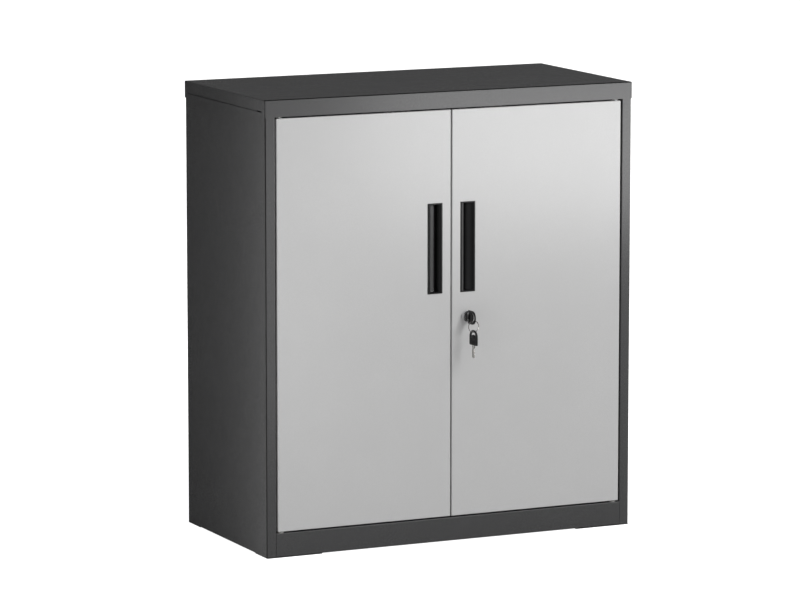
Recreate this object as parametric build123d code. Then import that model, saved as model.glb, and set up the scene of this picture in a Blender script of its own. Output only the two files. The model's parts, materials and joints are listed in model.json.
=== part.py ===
from build123d import *
import math
import os

# A free-standing sheet-steel cupboard with two hinged doors, two adjustable shelves and a
# keyed lock that throws two rods. Millimetres, +Z up, front towards -Y, origin on the
# floor under the middle of the overall box, which takes in the keys hanging in front.

# ---- overall
WIDTH = 800.0
DEPTH = 400.0
HEIGHT = 900.0
SHEET = 0.8
BEND = 1.5
TOUCH = 0.1
BODY_GAP = 0.3
RUNNING = 0.05

# ---- cap and carcass
CAP_OVERHANG = 1.8
CAP_HEIGHT = 33.7
CAP_LIP = 12.0
RAIL_HEIGHT = 8.7
RAIL_SEAM = 2.4
RAIL_FRONT_SETBACK = 14.0
RAIL_BACK_SETBACK = 20.0
STILE_WIDTH = 19.7
STILE_DEPTH = 26.0
STILE_LIP = 12.0
REAR_FOLD = 18.0
REAR_INSET = 1.0
FRONT_FLANGE_DEPTH = 40.0
PLINTH_HEIGHT = 46.9
PLINTH_FOOT_FLANGE = 25.0
PLINTH_SEAM = 0.2
FLOOR_FLANGE = 20.0
BACK_FLANGE = 12.0
RIVET_RADIUS = 2.0
RIVET_HEAD_RADIUS = 3.6
RIVET_HEAD_HEIGHT = 0.9
BACK_RIVET_ROWS = 5
BACK_RIVET_END_MARGIN = 60.0
FOOT_THICKNESS = 1.5
FOOT_LENGTH = 118.0
FOOT_DEPTH = 60.0

# ---- slotted uprights, shelves and their clips
UPRIGHT_WIDTH = 25.0
UPRIGHT_DEPTH = 10.0
UPRIGHT_SHEET = 1.2
UPRIGHT_FRONT_GAP = 2.0
UPRIGHT_BACK_GAP = 12.0
SLOT_PITCH = 25.0
SLOT_WIDTH = 3.2
SLOT_HEIGHT = 12.0
SLOT_END_MARGIN = 30.0
LOWER_SHELF_LEVEL = 335.0
UPPER_SHELF_LEVEL = 610.0
CLIP_WIDTH = 9.0
CLIP_SHEET = 1.5
CLIP_LEDGE = 12.0
CLIP_HEIGHT = 16.0
SHELF_SIDE_GAP = 1.8
SHELF_FRONT_GAP = 34.0
SHELF_BACK_GAP = 6.0
SHELF_FLANGE = 25.0
SHELF_HEM = 10.0
STIFFENER_WIDTH = 40.0
STIFFENER_HEIGHT = 20.0
STIFFENER_BRIM = 10.0
STIFFENER_END_GAP = 14.0

# ---- doors
DOOR_THICKNESS = 18.0
DOOR_SIDE_GAP = 3.5
DOOR_TOP_GAP = 3.2
DOOR_BOTTOM_GAP = 2.9
DOOR_CENTRE_GAP = 3.0
DOOR_LIP = 14.0
DOOR_RIB_WIDTH = 60.0
DOOR_RIB_DEPTH = 15.0
DOOR_RIB_END_GAP = 18.0
PIVOT_INSET = 9.0
PIN_RADIUS = 3.0
PIN_COLLAR_RADIUS = 5.5
PIN_COLLAR = 1.2
PIN_REACH = 8.0
PIN_TAIL = 6.0
BUSH_FLANGE_RADIUS = 6.5
BUSH_FLANGE = 1.2
BUSH_RADIUS = 5.0
BUSH_REACH = 6.0

# ---- recessed handles
HANDLE_INSET = 18.0
HANDLE_WIDTH = 32.7
HANDLE_HEIGHT = 180.0
HANDLE_CENTRE_Z = 590.0
HANDLE_RIM = 3.0
HANDLE_PROUD = 1.2
HANDLE_DEPTH = 15.0
HANDLE_WALL = 1.4
HANDLE_GRIP_LIP = 8.3
HANDLE_LIP_THICKNESS = 3.0
HANDLE_RIM_ROUND = 0.9
HANDLE_FLOOR_WIDTH = 6.4

# ---- lock, cam and rods
LOCK_INSET = 31.5
LOCK_BELOW_HANDLE = 48.5
COLLAR_RADIUS = 11.0
COLLAR_PROUD = 8.0
BARREL_RADIUS = 9.5
BARREL_REACH = 22.0
PLUG_RADIUS = 7.0
PLUG_RECESS = 0.4
KEYWAY_WIDTH = 2.6
KEYWAY_HEIGHT = 8.8
KEYWAY_DEPTH = 24.1
NUT_RADIUS = 13.0
NUT_THICKNESS = 4.0
CAM_THICKNESS = 2.0
CAM_WIDTH = 12.0
CAM_END = 4.0
CAM_CORNER = 4.0
CAM_PIN_RADIUS = 2.0
CAM_PIN_ORBIT = 12.0
CAM_REST_ANGLE = -45.0
CAM_SCREW_HEAD_RADIUS = 3.5
CAM_SCREW_HEAD = 1.8
CAM_SCREW_RADIUS = 1.6
CAM_SCREW_REACH = 6.0
ROD_WIDTH = 10.0
ROD_THICKNESS = 3.0
ROD_SLOT_PLAY = 0.65
ROD_END_MARGIN = 2.6
ROD_SIDE_MARGIN = 1.5
ROD_TIP_INSET = 1.2
ROD_HOLE_PLAY = 1.6
GUIDE_HEIGHT = 9.0
GUIDE_SHEET = 1.2
GUIDE_FOOT = 7.0

# ---- magnetic catches
CATCH_X = 100.0
CATCH_WIDTH = 40.0
CATCH_HEIGHT = 15.0
CATCH_DEPTH = 16.0
CATCH_WINDOW_WIDTH = 20.0
CATCH_WINDOW_HEIGHT = 6.0
STRIKE_WIDTH = 34.0
STRIKE_HEIGHT = 11.0
STRIKE_THICKNESS = 1.2

# ---- keys and ring
KEY_BLADE_WIDTH = 8.0
KEY_BLADE_THICKNESS = 2.0
KEY_INSERTED = 23.6
KEY_TANG = 8.0
KEY_POINT = 2.4
KEY_CUTS = (1.2, 2.0, 0.8, 1.6, 1.1)
KEY_BOW_WIDTH = 27.0
KEY_BOW_LENGTH = 30.5
KEY_BOW_THICKNESS = 2.8
KEY_BOW_CORNER = 8.75
KEY_LOOP_WIDTH = 14.0
KEY_LOOP_LENGTH = 9.0
KEY_LOOP_RIM = 3.4
KEY_LOOP_CORNER = 3.0
KEY_SHOULDER_GAP = 2.4
RING_RADIUS = 11.0
RING_WIRE_RADIUS = 0.75
RING_SEAT_GAP = 0.5
SPARE_SEAT_GAP = 0.3

# ---- levels and planes worked out from the sizes above
KEY_REACH = (
    COLLAR_PROUD
    + KEY_SHOULDER_GAP
    + KEY_BOW_LENGTH
    - KEY_LOOP_RIM
    - KEY_LOOP_LENGTH / 2
    + KEY_BOW_WIDTH / 2
)
FRONT = (KEY_REACH - DEPTH) / 2
BACK = FRONT + DEPTH
SIDE_OUTER = WIDTH / 2 - CAP_OVERHANG
SIDE_INNER = SIDE_OUTER - SHEET
STILE_INNER = SIDE_OUTER - STILE_WIDTH
CARCASS_BOTTOM = FOOT_THICKNESS
FLOOR_TOP = CARCASS_BOTTOM + PLINTH_HEIGHT
HEADER_BOTTOM = HEIGHT - CAP_HEIGHT
REAR_FACE = BACK - REAR_INSET
BACK_PANEL_FRONT = REAR_FACE - 2 * SHEET
FLANGE_BACK = FRONT + FRONT_FLANGE_DEPTH
STILE_BACK = FRONT + STILE_DEPTH
DOOR_OUTER = STILE_INNER - DOOR_SIDE_GAP
DOOR_INNER = DOOR_CENTRE_GAP / 2
DOOR_BOTTOM = FLOOR_TOP + DOOR_BOTTOM_GAP
DOOR_TOP = HEADER_BOTTOM - DOOR_TOP_GAP
DOOR_BACK = FRONT + DOOR_THICKNESS
PIVOT_X = DOOR_OUTER - PIVOT_INSET
PIVOT_Y = FRONT + PIVOT_INSET
UPRIGHT_FACE = SIDE_INNER - UPRIGHT_DEPTH
UPRIGHT_BOTTOM = FLOOR_TOP
UPRIGHT_TOP = HEADER_BOTTOM - BODY_GAP
FRONT_UPRIGHT_Y = STILE_BACK + UPRIGHT_FRONT_GAP + UPRIGHT_WIDTH / 2
BACK_UPRIGHT_Y = BACK_PANEL_FRONT - UPRIGHT_BACK_GAP - UPRIGHT_WIDTH / 2
SHELF_HALF_WIDTH = UPRIGHT_FACE - SHELF_SIDE_GAP
SHELF_FRONT = FRONT + SHELF_FRONT_GAP
SHELF_BACK = BACK_PANEL_FRONT - SHELF_BACK_GAP
HANDLE_FREE_X = DOOR_INNER + HANDLE_INSET
HANDLE_HINGE_X = HANDLE_FREE_X + HANDLE_WIDTH
LOCK_X = DOOR_INNER + LOCK_INSET
LOCK_Z = HANDLE_CENTRE_Z - HANDLE_HEIGHT / 2 - LOCK_BELOW_HANDLE
BARREL_BACK = FRONT + BARREL_REACH
CAM_FRONT = BARREL_BACK + BODY_GAP
CAM_BACK = CAM_FRONT + CAM_THICKNESS
ROD_FRONT = CAM_BACK + 2 * BODY_GAP
ROD_BACK = ROD_FRONT + ROD_THICKNESS
ROD_STROKE = 2 * CAM_PIN_ORBIT * math.sin(math.radians(-CAM_REST_ANGLE))
ROD_NEAR_X = CAM_PIN_ORBIT * math.cos(math.radians(CAM_REST_ANGLE))
ROD_SLOT_NEAR = ROD_NEAR_X - CAM_PIN_RADIUS - ROD_SLOT_PLAY
ROD_SLOT_FAR = CAM_PIN_ORBIT + CAM_PIN_RADIUS + ROD_SLOT_PLAY
ROD_SLOT_HALF_HEIGHT = CAM_PIN_RADIUS + ROD_SLOT_PLAY
ROD_OFFSET = (ROD_SLOT_NEAR + ROD_SLOT_FAR) / 2
KEY_BOW_FRONT = FRONT - COLLAR_PROUD - KEY_SHOULDER_GAP
KEY_FAR_END = KEY_BOW_FRONT - KEY_BOW_LENGTH
RING_Y = KEY_FAR_END + KEY_LOOP_RIM + KEY_LOOP_LENGTH / 2
RING_TOP_Z = LOCK_Z - KEY_LOOP_WIDTH / 2 + RING_WIRE_RADIUS + RING_SEAT_GAP
RING_BOTTOM_Z = RING_TOP_Z - 2 * RING_RADIUS
SPARE_TOP_Z = RING_BOTTOM_Z + RING_WIRE_RADIUS + SPARE_SEAT_GAP + KEY_LOOP_RIM


def block(x_range, y_range, z_range):
    """A box from its limits along each axis."""
    low = [min(r) for r in (x_range, y_range, z_range)]
    size = [abs(r[1] - r[0]) for r in (x_range, y_range, z_range)]
    centre = [a + s / 2 for a, s in zip(low, size)]
    return Pos(*centre) * Box(*size)


def rod_z(x, y, z_range, radius):
    """A round bar standing along Z."""
    low, high = min(z_range), max(z_range)
    return Pos(x, y, (low + high) / 2) * Cylinder(radius, high - low)


def rod_y(x, z, y_range, radius):
    """A round bar lying along Y."""
    low, high = min(y_range), max(y_range)
    return Pos(x, (low + high) / 2, z) * Rot(90, 0, 0) * Cylinder(radius, high - low)


def folded(points, plane, length, sheet=SHEET):
    """A folded sheet: the mid-line of its section, drawn on a plane, and its length."""
    line = FilletPolyline(*points, radius=BEND - SHEET / 2)
    return extrude(plane * trace(line, sheet), length)


def mirrored(shape):
    """The same piece on the other side of the cupboard."""
    return mirror(shape, about=Plane.YZ)


def top_panel():
    """The cap: a downturned pan whose deep front wall is the header over the doors."""
    half = WIDTH / 2
    pan = block((-half, half), (FRONT, BACK), (HEADER_BOTTOM, HEIGHT))
    edges = pan.edges().filter_by(Axis.Z) + pan.faces().sort_by(Axis.Z)[-1].edges()
    pan = fillet(edges, BEND)
    inside = block(
        (-half + SHEET, half - SHEET),
        (FRONT + SHEET, BACK - SHEET),
        (HEADER_BOTTOM - SHEET, HEIGHT - SHEET),
    )
    pan -= inside
    rail_top = HEADER_BOTTOM + RAIL_HEIGHT + RAIL_SEAM
    pan -= block(
        (-WIDTH, WIDTH),
        (FRONT + RAIL_FRONT_SETBACK, BACK - RAIL_BACK_SETBACK),
        (HEADER_BOTTOM - SHEET, rail_top),
    )
    flange_half = SIDE_INNER - BODY_GAP
    flange = block(
        (-flange_half, flange_half),
        (FRONT + SHEET / 2, FLANGE_BACK),
        (HEADER_BOTTOM, HEADER_BOTTOM + SHEET),
    )
    lip = block(
        (-flange_half, flange_half),
        (FLANGE_BACK - SHEET, FLANGE_BACK),
        (HEADER_BOTTOM, HEADER_BOTTOM + CAP_LIP),
    )
    pan += flange + lip
    for side in (-1, 1):
        pan -= rod_z(
            side * PIVOT_X,
            PIVOT_Y,
            (HEADER_BOTTOM - SHEET, HEADER_BOTTOM + 2 * SHEET),
            BUSH_RADIUS + TOUCH,
        )
    pan -= rod_hole(LOCK_X + ROD_OFFSET, HEADER_BOTTOM, HEADER_BOTTOM + SHEET)
    return pan


def rod_hole(x, low, high):
    """The slot that a lock rod shoots through."""
    half_x = ROD_WIDTH / 2 + ROD_HOLE_PLAY
    return block(
        (x - half_x, x + half_x),
        (ROD_FRONT - ROD_HOLE_PLAY, ROD_BACK + ROD_HOLE_PLAY),
        (low - SHEET, high + SHEET),
    )


def top_rail():
    """The left strip under the cap's side seam."""
    low = HEADER_BOTTOM
    return block(
        (-WIDTH / 2, -SIDE_OUTER),
        (FRONT + RAIL_FRONT_SETBACK + TOUCH, BACK - RAIL_BACK_SETBACK - TOUCH),
        (low, low + RAIL_HEIGHT),
    )


def side_panel():
    """The left side, front stile and rear fold in one folded sheet."""
    mid = SHEET / 2
    outer = -SIDE_OUTER + mid
    inner = -STILE_INNER - mid
    points = [
        (inner - STILE_LIP + mid, STILE_BACK - mid),
        (inner, STILE_BACK - mid),
        (inner, FRONT + mid),
        (outer, FRONT + mid),
        (outer, REAR_FACE - mid),
        (outer + REAR_FOLD, REAR_FACE - mid),
    ]
    plane = Plane.XY.offset(CARCASS_BOTTOM)
    panel = folded(points, plane, HEIGHT - SHEET - CARCASS_BOTTOM)
    panel -= block(
        (-WIDTH, 0),
        (FRONT - DEPTH, FLANGE_BACK + BODY_GAP),
        (HEADER_BOTTOM, HEIGHT),
    )
    for z in back_rivet_levels():
        panel -= rod_y(
            -back_rivet_x(),
            z,
            (BACK_PANEL_FRONT, BACK),
            RIVET_RADIUS + TOUCH,
        )
    return panel


def back_rivet_x():
    """How far each column of back rivets stands from the middle."""
    return SIDE_INNER - REAR_FOLD / 2


def back_rivet_levels():
    """Heights of the rivets that hold the back."""
    low = FLOOR_TOP + BACK_RIVET_END_MARGIN
    high = HEADER_BOTTOM - BACK_RIVET_END_MARGIN
    step = (high - low) / (BACK_RIVET_ROWS - 1)
    return [low + step * i for i in range(BACK_RIVET_ROWS)]


def back_panel():
    """The back sheet, inside the rear folds, with its top and bottom turned forward."""
    mid = SHEET / 2
    y = REAR_FACE - SHEET - mid
    low = CARCASS_BOTTOM + BACK_FLANGE
    high = HEIGHT - SHEET - mid
    points = [(y - BACK_FLANGE, low), (y, low), (y, high), (y - BACK_FLANGE, high)]
    half = SIDE_INNER - BEND
    panel = folded(points, Plane.YZ.offset(-half), 2 * half)
    for side in (-1, 1):
        for z in back_rivet_levels():
            panel -= rod_y(
                side * back_rivet_x(),
                z,
                (BACK_PANEL_FRONT - SHEET, BACK),
                RIVET_RADIUS + TOUCH,
            )
    return panel


def back_rivets():
    """The rivets down both rear folds, each with a head on either face."""
    rivets = []
    for side in (-1, 1):
        for z in back_rivet_levels():
            x = side * back_rivet_x()
            rivet = rod_y(x, z, (BACK_PANEL_FRONT - RIVET_HEAD_HEIGHT, REAR_FACE), RIVET_RADIUS)
            rivet += rod_y(
                x,
                z,
                (REAR_FACE, REAR_FACE + RIVET_HEAD_HEIGHT),
                RIVET_HEAD_RADIUS,
            )
            rivet += rod_y(
                x,
                z,
                (BACK_PANEL_FRONT - RIVET_HEAD_HEIGHT, BACK_PANEL_FRONT),
                RIVET_HEAD_RADIUS,
            )
            rivets.append(rivet)
    return Compound(children=rivets)


def plinth():
    """The kick rail between the stiles, with a flange back at its head and foot."""
    mid = SHEET / 2
    points = [
        (FRONT + PLINTH_FOOT_FLANGE, CARCASS_BOTTOM + mid),
        (FRONT + mid, CARCASS_BOTTOM + mid),
        (FRONT + mid, FLOOR_TOP - mid),
        (FLANGE_BACK, FLOOR_TOP - mid),
    ]
    half = STILE_INNER - PLINTH_SEAM
    rail = folded(points, Plane.YZ.offset(-half), 2 * half)
    for side in (-1, 1):
        rail -= rod_z(
            side * PIVOT_X,
            PIVOT_Y,
            (FLOOR_TOP - 2 * SHEET, FLOOR_TOP + SHEET),
            BUSH_RADIUS + TOUCH,
        )
    rail -= rod_hole(LOCK_X - ROD_OFFSET, FLOOR_TOP - SHEET, FLOOR_TOP)
    return rail


def bottom_panel():
    """The cupboard's floor: a tray with all four edges turned down."""
    half = SIDE_INNER
    tray = block(
        (-half, half),
        (FLANGE_BACK + TOUCH, BACK_PANEL_FRONT),
        (FLOOR_TOP - FLOOR_FLANGE, FLOOR_TOP),
    )
    tray -= block(
        (-half + SHEET, half - SHEET),
        (FLANGE_BACK + TOUCH + SHEET, BACK_PANEL_FRONT - SHEET),
        (FLOOR_TOP - 2 * FLOOR_FLANGE, FLOOR_TOP - SHEET),
    )
    return tray


def foot_plate(front):
    """A plate under the left front or left back corner."""
    y = (FRONT, FRONT + FOOT_DEPTH) if front else (REAR_FACE - FOOT_DEPTH, REAR_FACE)
    return block((-SIDE_OUTER, -SIDE_OUTER + FOOT_LENGTH), y, (0, FOOT_THICKNESS))


def upright_slots():
    """Heights of the middle of each slot in an upright."""
    first = UPRIGHT_BOTTOM + SLOT_END_MARGIN
    room = UPRIGHT_TOP - SLOT_END_MARGIN - first
    return [first + SLOT_PITCH * i for i in range(int(room / SLOT_PITCH) + 1)]


def upright(y):
    """A slotted channel on the left side wall, open towards the wall."""
    mid = UPRIGHT_SHEET / 2
    half = UPRIGHT_WIDTH / 2 - mid
    points = [
        (-SIDE_INNER, y - half),
        (-UPRIGHT_FACE - mid, y - half),
        (-UPRIGHT_FACE - mid, y + half),
        (-SIDE_INNER, y + half),
    ]
    plane = Plane.XY.offset(UPRIGHT_BOTTOM)
    channel = folded(points, plane, UPRIGHT_TOP - UPRIGHT_BOTTOM, UPRIGHT_SHEET)
    slots = [
        block(
            (-UPRIGHT_FACE - 2 * UPRIGHT_SHEET, -UPRIGHT_FACE + UPRIGHT_SHEET),
            (y - SLOT_WIDTH / 2, y + SLOT_WIDTH / 2),
            (z - SLOT_HEIGHT / 2, z + SLOT_HEIGHT / 2),
        )
        for z in upright_slots()
    ]
    return channel - slots


def shelf_rise():
    """How far a shelf's upper face is above the middle of the slots that its clips hang in."""
    return CLIP_HEIGHT / 2 + SHELF_FLANGE + BODY_GAP


def shelf_slot(level):
    """The height of the slots that bring a shelf nearest to the level wanted."""
    return min(upright_slots(), key=lambda z: abs(z + shelf_rise() - level))


def shelf_top(level):
    """The height of a shelf's upper face once its clips hang in the nearest slots."""
    return shelf_slot(level) + shelf_rise()


def shelf(level):
    """A steel shelf with its four edges turned down and hemmed in underneath."""
    top = shelf_top(level)
    x = (-SHELF_HALF_WIDTH, SHELF_HALF_WIDTH)
    pan = block(x, (SHELF_FRONT, SHELF_BACK), (top - SHELF_FLANGE, top))
    long_edges = pan.edges().filter_by(Axis.X)
    pan = fillet(long_edges, BEND)
    pan -= block(
        (x[0] + SHEET, x[1] - SHEET),
        (SHELF_FRONT + SHEET, SHELF_BACK - SHEET),
        (top - SHELF_FLANGE + SHEET, top - SHEET),
    )
    pan -= block(
        (x[0] + SHELF_HEM, x[1] - SHELF_HEM),
        (SHELF_FRONT + SHELF_HEM, SHELF_BACK - SHELF_HEM),
        (top - 2 * SHELF_FLANGE, top - SHELF_FLANGE + 2 * SHEET),
    )
    return pan


def shelf_stiffener(level):
    """The hat channel welded along the middle of a shelf's underside."""
    under = shelf_top(level) - SHEET
    mid = SHEET / 2
    y = (SHELF_FRONT + SHELF_BACK) / 2
    half = STIFFENER_WIDTH / 2 - mid
    low = under - STIFFENER_HEIGHT + mid
    points = [
        (y - half - STIFFENER_BRIM, under - mid),
        (y - half, under - mid),
        (y - half, low),
        (y + half, low),
        (y + half, under - mid),
        (y + half + STIFFENER_BRIM, under - mid),
    ]
    end = SHELF_HALF_WIDTH - STIFFENER_END_GAP
    return folded(points, Plane.YZ.offset(-end), 2 * end)


def shelf_clips(level):
    """Four clips: a back plate on the upright, a tongue in its slot and a ledge."""
    z = shelf_slot(level)
    clips = []
    for y in (FRONT_UPRIGHT_Y, BACK_UPRIGHT_Y):
        y_range = (y - CLIP_WIDTH / 2, y + CLIP_WIDTH / 2)
        top = z + CLIP_HEIGHT / 2
        clip = block(
            (-UPRIGHT_FACE, -UPRIGHT_FACE + CLIP_SHEET), y_range, (z - CLIP_HEIGHT / 2, top)
        )
        clip += block(
            (-UPRIGHT_FACE, -UPRIGHT_FACE + CLIP_LEDGE), y_range, (top - CLIP_SHEET, top)
        )
        clip += block(
            (-UPRIGHT_FACE - 2 * UPRIGHT_SHEET, -UPRIGHT_FACE + CLIP_SHEET),
            (y - SLOT_WIDTH / 2 + TOUCH, y + SLOT_WIDTH / 2 - TOUCH),
            (z - SLOT_HEIGHT / 2 + TOUCH, z + SLOT_HEIGHT / 4),
        )
        clips += [clip, mirrored(clip)]
    return Compound(children=clips)


def door_pan():
    """The right door's folded sheet: skin, four edges and a lip behind each edge."""
    x = (DOOR_INNER, DOOR_OUTER)
    z = (DOOR_BOTTOM, DOOR_TOP)
    pan = block(x, (FRONT, DOOR_BACK), z)
    pan = fillet(pan.edges(), BEND)
    pan -= block(
        (x[0] + SHEET, x[1] - SHEET),
        (FRONT + SHEET, DOOR_BACK - SHEET),
        (z[0] + SHEET, z[1] - SHEET),
    )
    pan -= block(
        (x[0] + DOOR_LIP, x[1] - DOOR_LIP),
        (DOOR_BACK - 2 * SHEET, DOOR_BACK + SHEET),
        (z[0] + DOOR_LIP, z[1] - DOOR_LIP),
    )
    pan -= handle_opening()
    for low, high in ((z[0] - SHEET, z[0] + 2 * SHEET), (z[1] - 2 * SHEET, z[1] + SHEET)):
        pan -= rod_z(PIVOT_X, PIVOT_Y, (low, high), PIN_RADIUS + TOUCH)
    return pan


def right_door_panel():
    """The right door's sheet, pierced for the lock as well as the handle."""
    hole = rod_y(LOCK_X, LOCK_Z, (FRONT - SHEET, FRONT + 2 * SHEET), BARREL_RADIUS + TOUCH)
    return door_pan() - hole


def door_rib():
    """The hat channel glued up the middle of the right door's skin."""
    mid = SHEET / 2
    x = (DOOR_INNER + DOOR_OUTER) / 2
    half = DOOR_RIB_WIDTH / 2 - mid
    near = FRONT + SHEET + mid
    far = FRONT + SHEET + DOOR_RIB_DEPTH - mid
    points = [
        (x - half - STIFFENER_BRIM, near),
        (x - half, near),
        (x - half, far),
        (x + half, far),
        (x + half, near),
        (x + half + STIFFENER_BRIM, near),
    ]
    low = DOOR_BOTTOM + DOOR_RIB_END_GAP
    high = DOOR_TOP - DOOR_RIB_END_GAP
    return folded(points, Plane.XY.offset(low), high - low)


def handle_opening():
    """The cut-out in the right door's skin for the handle cup."""
    inset = HANDLE_RIM - HANDLE_WALL - TOUCH
    half = HANDLE_HEIGHT / 2 - inset
    return block(
        (HANDLE_FREE_X + inset, HANDLE_HINGE_X - inset),
        (FRONT - SHEET, FRONT + 2 * SHEET),
        (HANDLE_CENTRE_Z - half, HANDLE_CENTRE_Z + half),
    )


def handle_cup():
    """The right handle: a rim on the skin, a scoop behind it and an undercut grip lip."""
    half = HANDLE_HEIGHT / 2
    rim = block(
        (HANDLE_FREE_X, HANDLE_HINGE_X),
        (FRONT - HANDLE_PROUD, FRONT),
        (HANDLE_CENTRE_Z - half, HANDLE_CENTRE_Z + half),
    )
    rim = fillet(rim.faces().sort_by(Axis.Y)[0].edges(), HANDLE_RIM_ROUND)
    inset = HANDLE_RIM - HANDLE_WALL
    body = block(
        (HANDLE_FREE_X + inset, HANDLE_HINGE_X - inset),
        (FRONT, FRONT + HANDLE_DEPTH),
        (HANDLE_CENTRE_Z - half + inset, HANDLE_CENTRE_Z + half - inset),
    )
    cup = rim + body
    mouth_hinge = HANDLE_HINGE_X - HANDLE_RIM
    mouth_free = HANDLE_FREE_X + HANDLE_GRIP_LIP
    wall_free = HANDLE_FREE_X + inset + HANDLE_WALL
    front = FRONT - 2 * HANDLE_PROUD
    floor = FRONT + HANDLE_DEPTH - HANDLE_WALL
    lip_back = FRONT - HANDLE_PROUD + HANDLE_LIP_THICKNESS
    scoop_x = mouth_free + HANDLE_FLOOR_WIDTH
    section = [
        Line((mouth_free, front), (mouth_hinge, front)),
        Line((mouth_hinge, front), (mouth_hinge, FRONT)),
        EllipticalCenterArc((scoop_x, FRONT), mouth_hinge - scoop_x, floor - FRONT),
        Line((scoop_x, floor), (wall_free, floor)),
        Line((wall_free, floor), (wall_free, lip_back)),
        Line((wall_free, lip_back), (mouth_free, lip_back)),
        Line((mouth_free, lip_back), (mouth_free, front)),
    ]
    low = HANDLE_CENTRE_Z - half + HANDLE_RIM
    hollow = extrude(
        Plane.XY.offset(low) * make_face(section), HANDLE_HEIGHT - 2 * HANDLE_RIM
    )
    return cup - hollow


def pivot_pin(top):
    """The right door's pin at its head or foot, with a collar either side of the edge."""
    way = 1 if top else -1
    edge = DOOR_TOP if top else DOOR_BOTTOM
    inside = edge - way * SHEET
    pin = rod_z(PIVOT_X, PIVOT_Y, (inside - way * PIN_TAIL, edge + way * pin_length()), PIN_RADIUS)
    pin += rod_z(PIVOT_X, PIVOT_Y, (edge, edge + way * PIN_COLLAR), PIN_COLLAR_RADIUS)
    pin += rod_z(PIVOT_X, PIVOT_Y, (inside, inside - way * PIN_COLLAR), PIN_COLLAR_RADIUS)
    return pin


def pin_length():
    """How far a pivot pin stands out of its door."""
    return max(DOOR_TOP_GAP, DOOR_BOTTOM_GAP) + PIN_REACH


def pivot_bush(top):
    """The right pivot's nylon bush in the header or the plinth."""
    way = -1 if top else 1
    face = HEADER_BOTTOM if top else FLOOR_TOP
    bush = rod_z(PIVOT_X, PIVOT_Y, (face, face + way * BUSH_FLANGE), BUSH_FLANGE_RADIUS)
    bush += rod_z(PIVOT_X, PIVOT_Y, (face, face - way * (BUSH_REACH + SHEET)), BUSH_RADIUS)
    return bush - rod_z(PIVOT_X, PIVOT_Y, (0, HEIGHT), PIN_RADIUS + RUNNING)


def catch_case():
    """The right magnetic catch, hung from the header's flange."""
    front = DOOR_BACK + STRIKE_THICKNESS + BODY_GAP
    case = block(
        (CATCH_X - CATCH_WIDTH / 2, CATCH_X + CATCH_WIDTH / 2),
        (front, front + CATCH_DEPTH),
        (HEADER_BOTTOM - CATCH_HEIGHT, HEADER_BOTTOM),
    )
    middle = HEADER_BOTTOM - CATCH_HEIGHT / 2
    return case - block(
        (CATCH_X - CATCH_WINDOW_WIDTH / 2, CATCH_X + CATCH_WINDOW_WIDTH / 2),
        (front - SHEET, front + SHEET),
        (middle - CATCH_WINDOW_HEIGHT / 2, middle + CATCH_WINDOW_HEIGHT / 2),
    )


def catch_strike():
    """The steel plate that the right magnetic catch holds, on the door's top lip."""
    high = DOOR_TOP - BEND
    return block(
        (CATCH_X - STRIKE_WIDTH / 2, CATCH_X + STRIKE_WIDTH / 2),
        (DOOR_BACK, DOOR_BACK + STRIKE_THICKNESS),
        (high - STRIKE_HEIGHT, high),
    )


def lock_barrel():
    """The lock's fixed body: collar outside, threaded barrel through the door."""
    barrel = rod_y(LOCK_X, LOCK_Z, (FRONT - COLLAR_PROUD, FRONT), COLLAR_RADIUS)
    rim = barrel.edges().filter_by(GeomType.CIRCLE).sort_by(Axis.Y)[0]
    barrel = fillet(rim, BEND)
    barrel += rod_y(LOCK_X, LOCK_Z, (FRONT, BARREL_BACK), BARREL_RADIUS)
    bore = rod_y(
        LOCK_X, LOCK_Z, (FRONT - 2 * COLLAR_PROUD, BARREL_BACK + SHEET), PLUG_RADIUS + RUNNING
    )
    return barrel - bore


def lock_nut():
    """The hexagon nut behind the skin."""
    y = FRONT + SHEET
    plane = Plane.XZ.offset(-y)
    nut = extrude(
        plane * Pos(LOCK_X, LOCK_Z) * RegularPolygon(NUT_RADIUS, 6), -NUT_THICKNESS
    )
    return nut - rod_y(LOCK_X, LOCK_Z, (y - SHEET, y + 2 * NUT_THICKNESS), BARREL_RADIUS + TOUCH)


def lock_plug():
    """The turning core with its keyway, open at the front."""
    face = FRONT - COLLAR_PROUD + PLUG_RECESS
    plug = rod_y(LOCK_X, LOCK_Z, (face, CAM_FRONT), PLUG_RADIUS)
    plug -= block(
        (LOCK_X - KEYWAY_WIDTH / 2, LOCK_X + KEYWAY_WIDTH / 2),
        (face - SHEET, face + KEYWAY_DEPTH),
        (LOCK_Z - KEYWAY_HEIGHT / 2, LOCK_Z + KEYWAY_HEIGHT / 2),
    )
    reach = CAM_FRONT - CAM_SCREW_REACH + CAM_THICKNESS
    return plug - rod_y(LOCK_X, LOCK_Z, (reach - TOUCH, CAM_BACK), CAM_SCREW_RADIUS + TOUCH)


def lock_cam():
    """The plate on the plug that drives both rods with two pins."""
    plane = Plane.XZ.offset(-CAM_FRONT) * Pos(LOCK_X, LOCK_Z) * Rot(0, 0, CAM_REST_ANGLE)
    length = 2 * (CAM_PIN_ORBIT + CAM_END)
    plate = extrude(plane * RectangleRounded(length, CAM_WIDTH, CAM_CORNER), -CAM_THICKNESS)
    plate -= rod_y(LOCK_X, LOCK_Z, (CAM_FRONT - SHEET, CAM_BACK + SHEET), CAM_SCREW_RADIUS + TOUCH)
    for side in (0, 180):
        angle = math.radians(CAM_REST_ANGLE + side)
        x = LOCK_X + CAM_PIN_ORBIT * math.cos(angle)
        z = LOCK_Z + CAM_PIN_ORBIT * math.sin(angle)
        plate += rod_y(x, z, (CAM_BACK - SHEET, ROD_BACK + BODY_GAP), CAM_PIN_RADIUS)
    return plate


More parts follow.
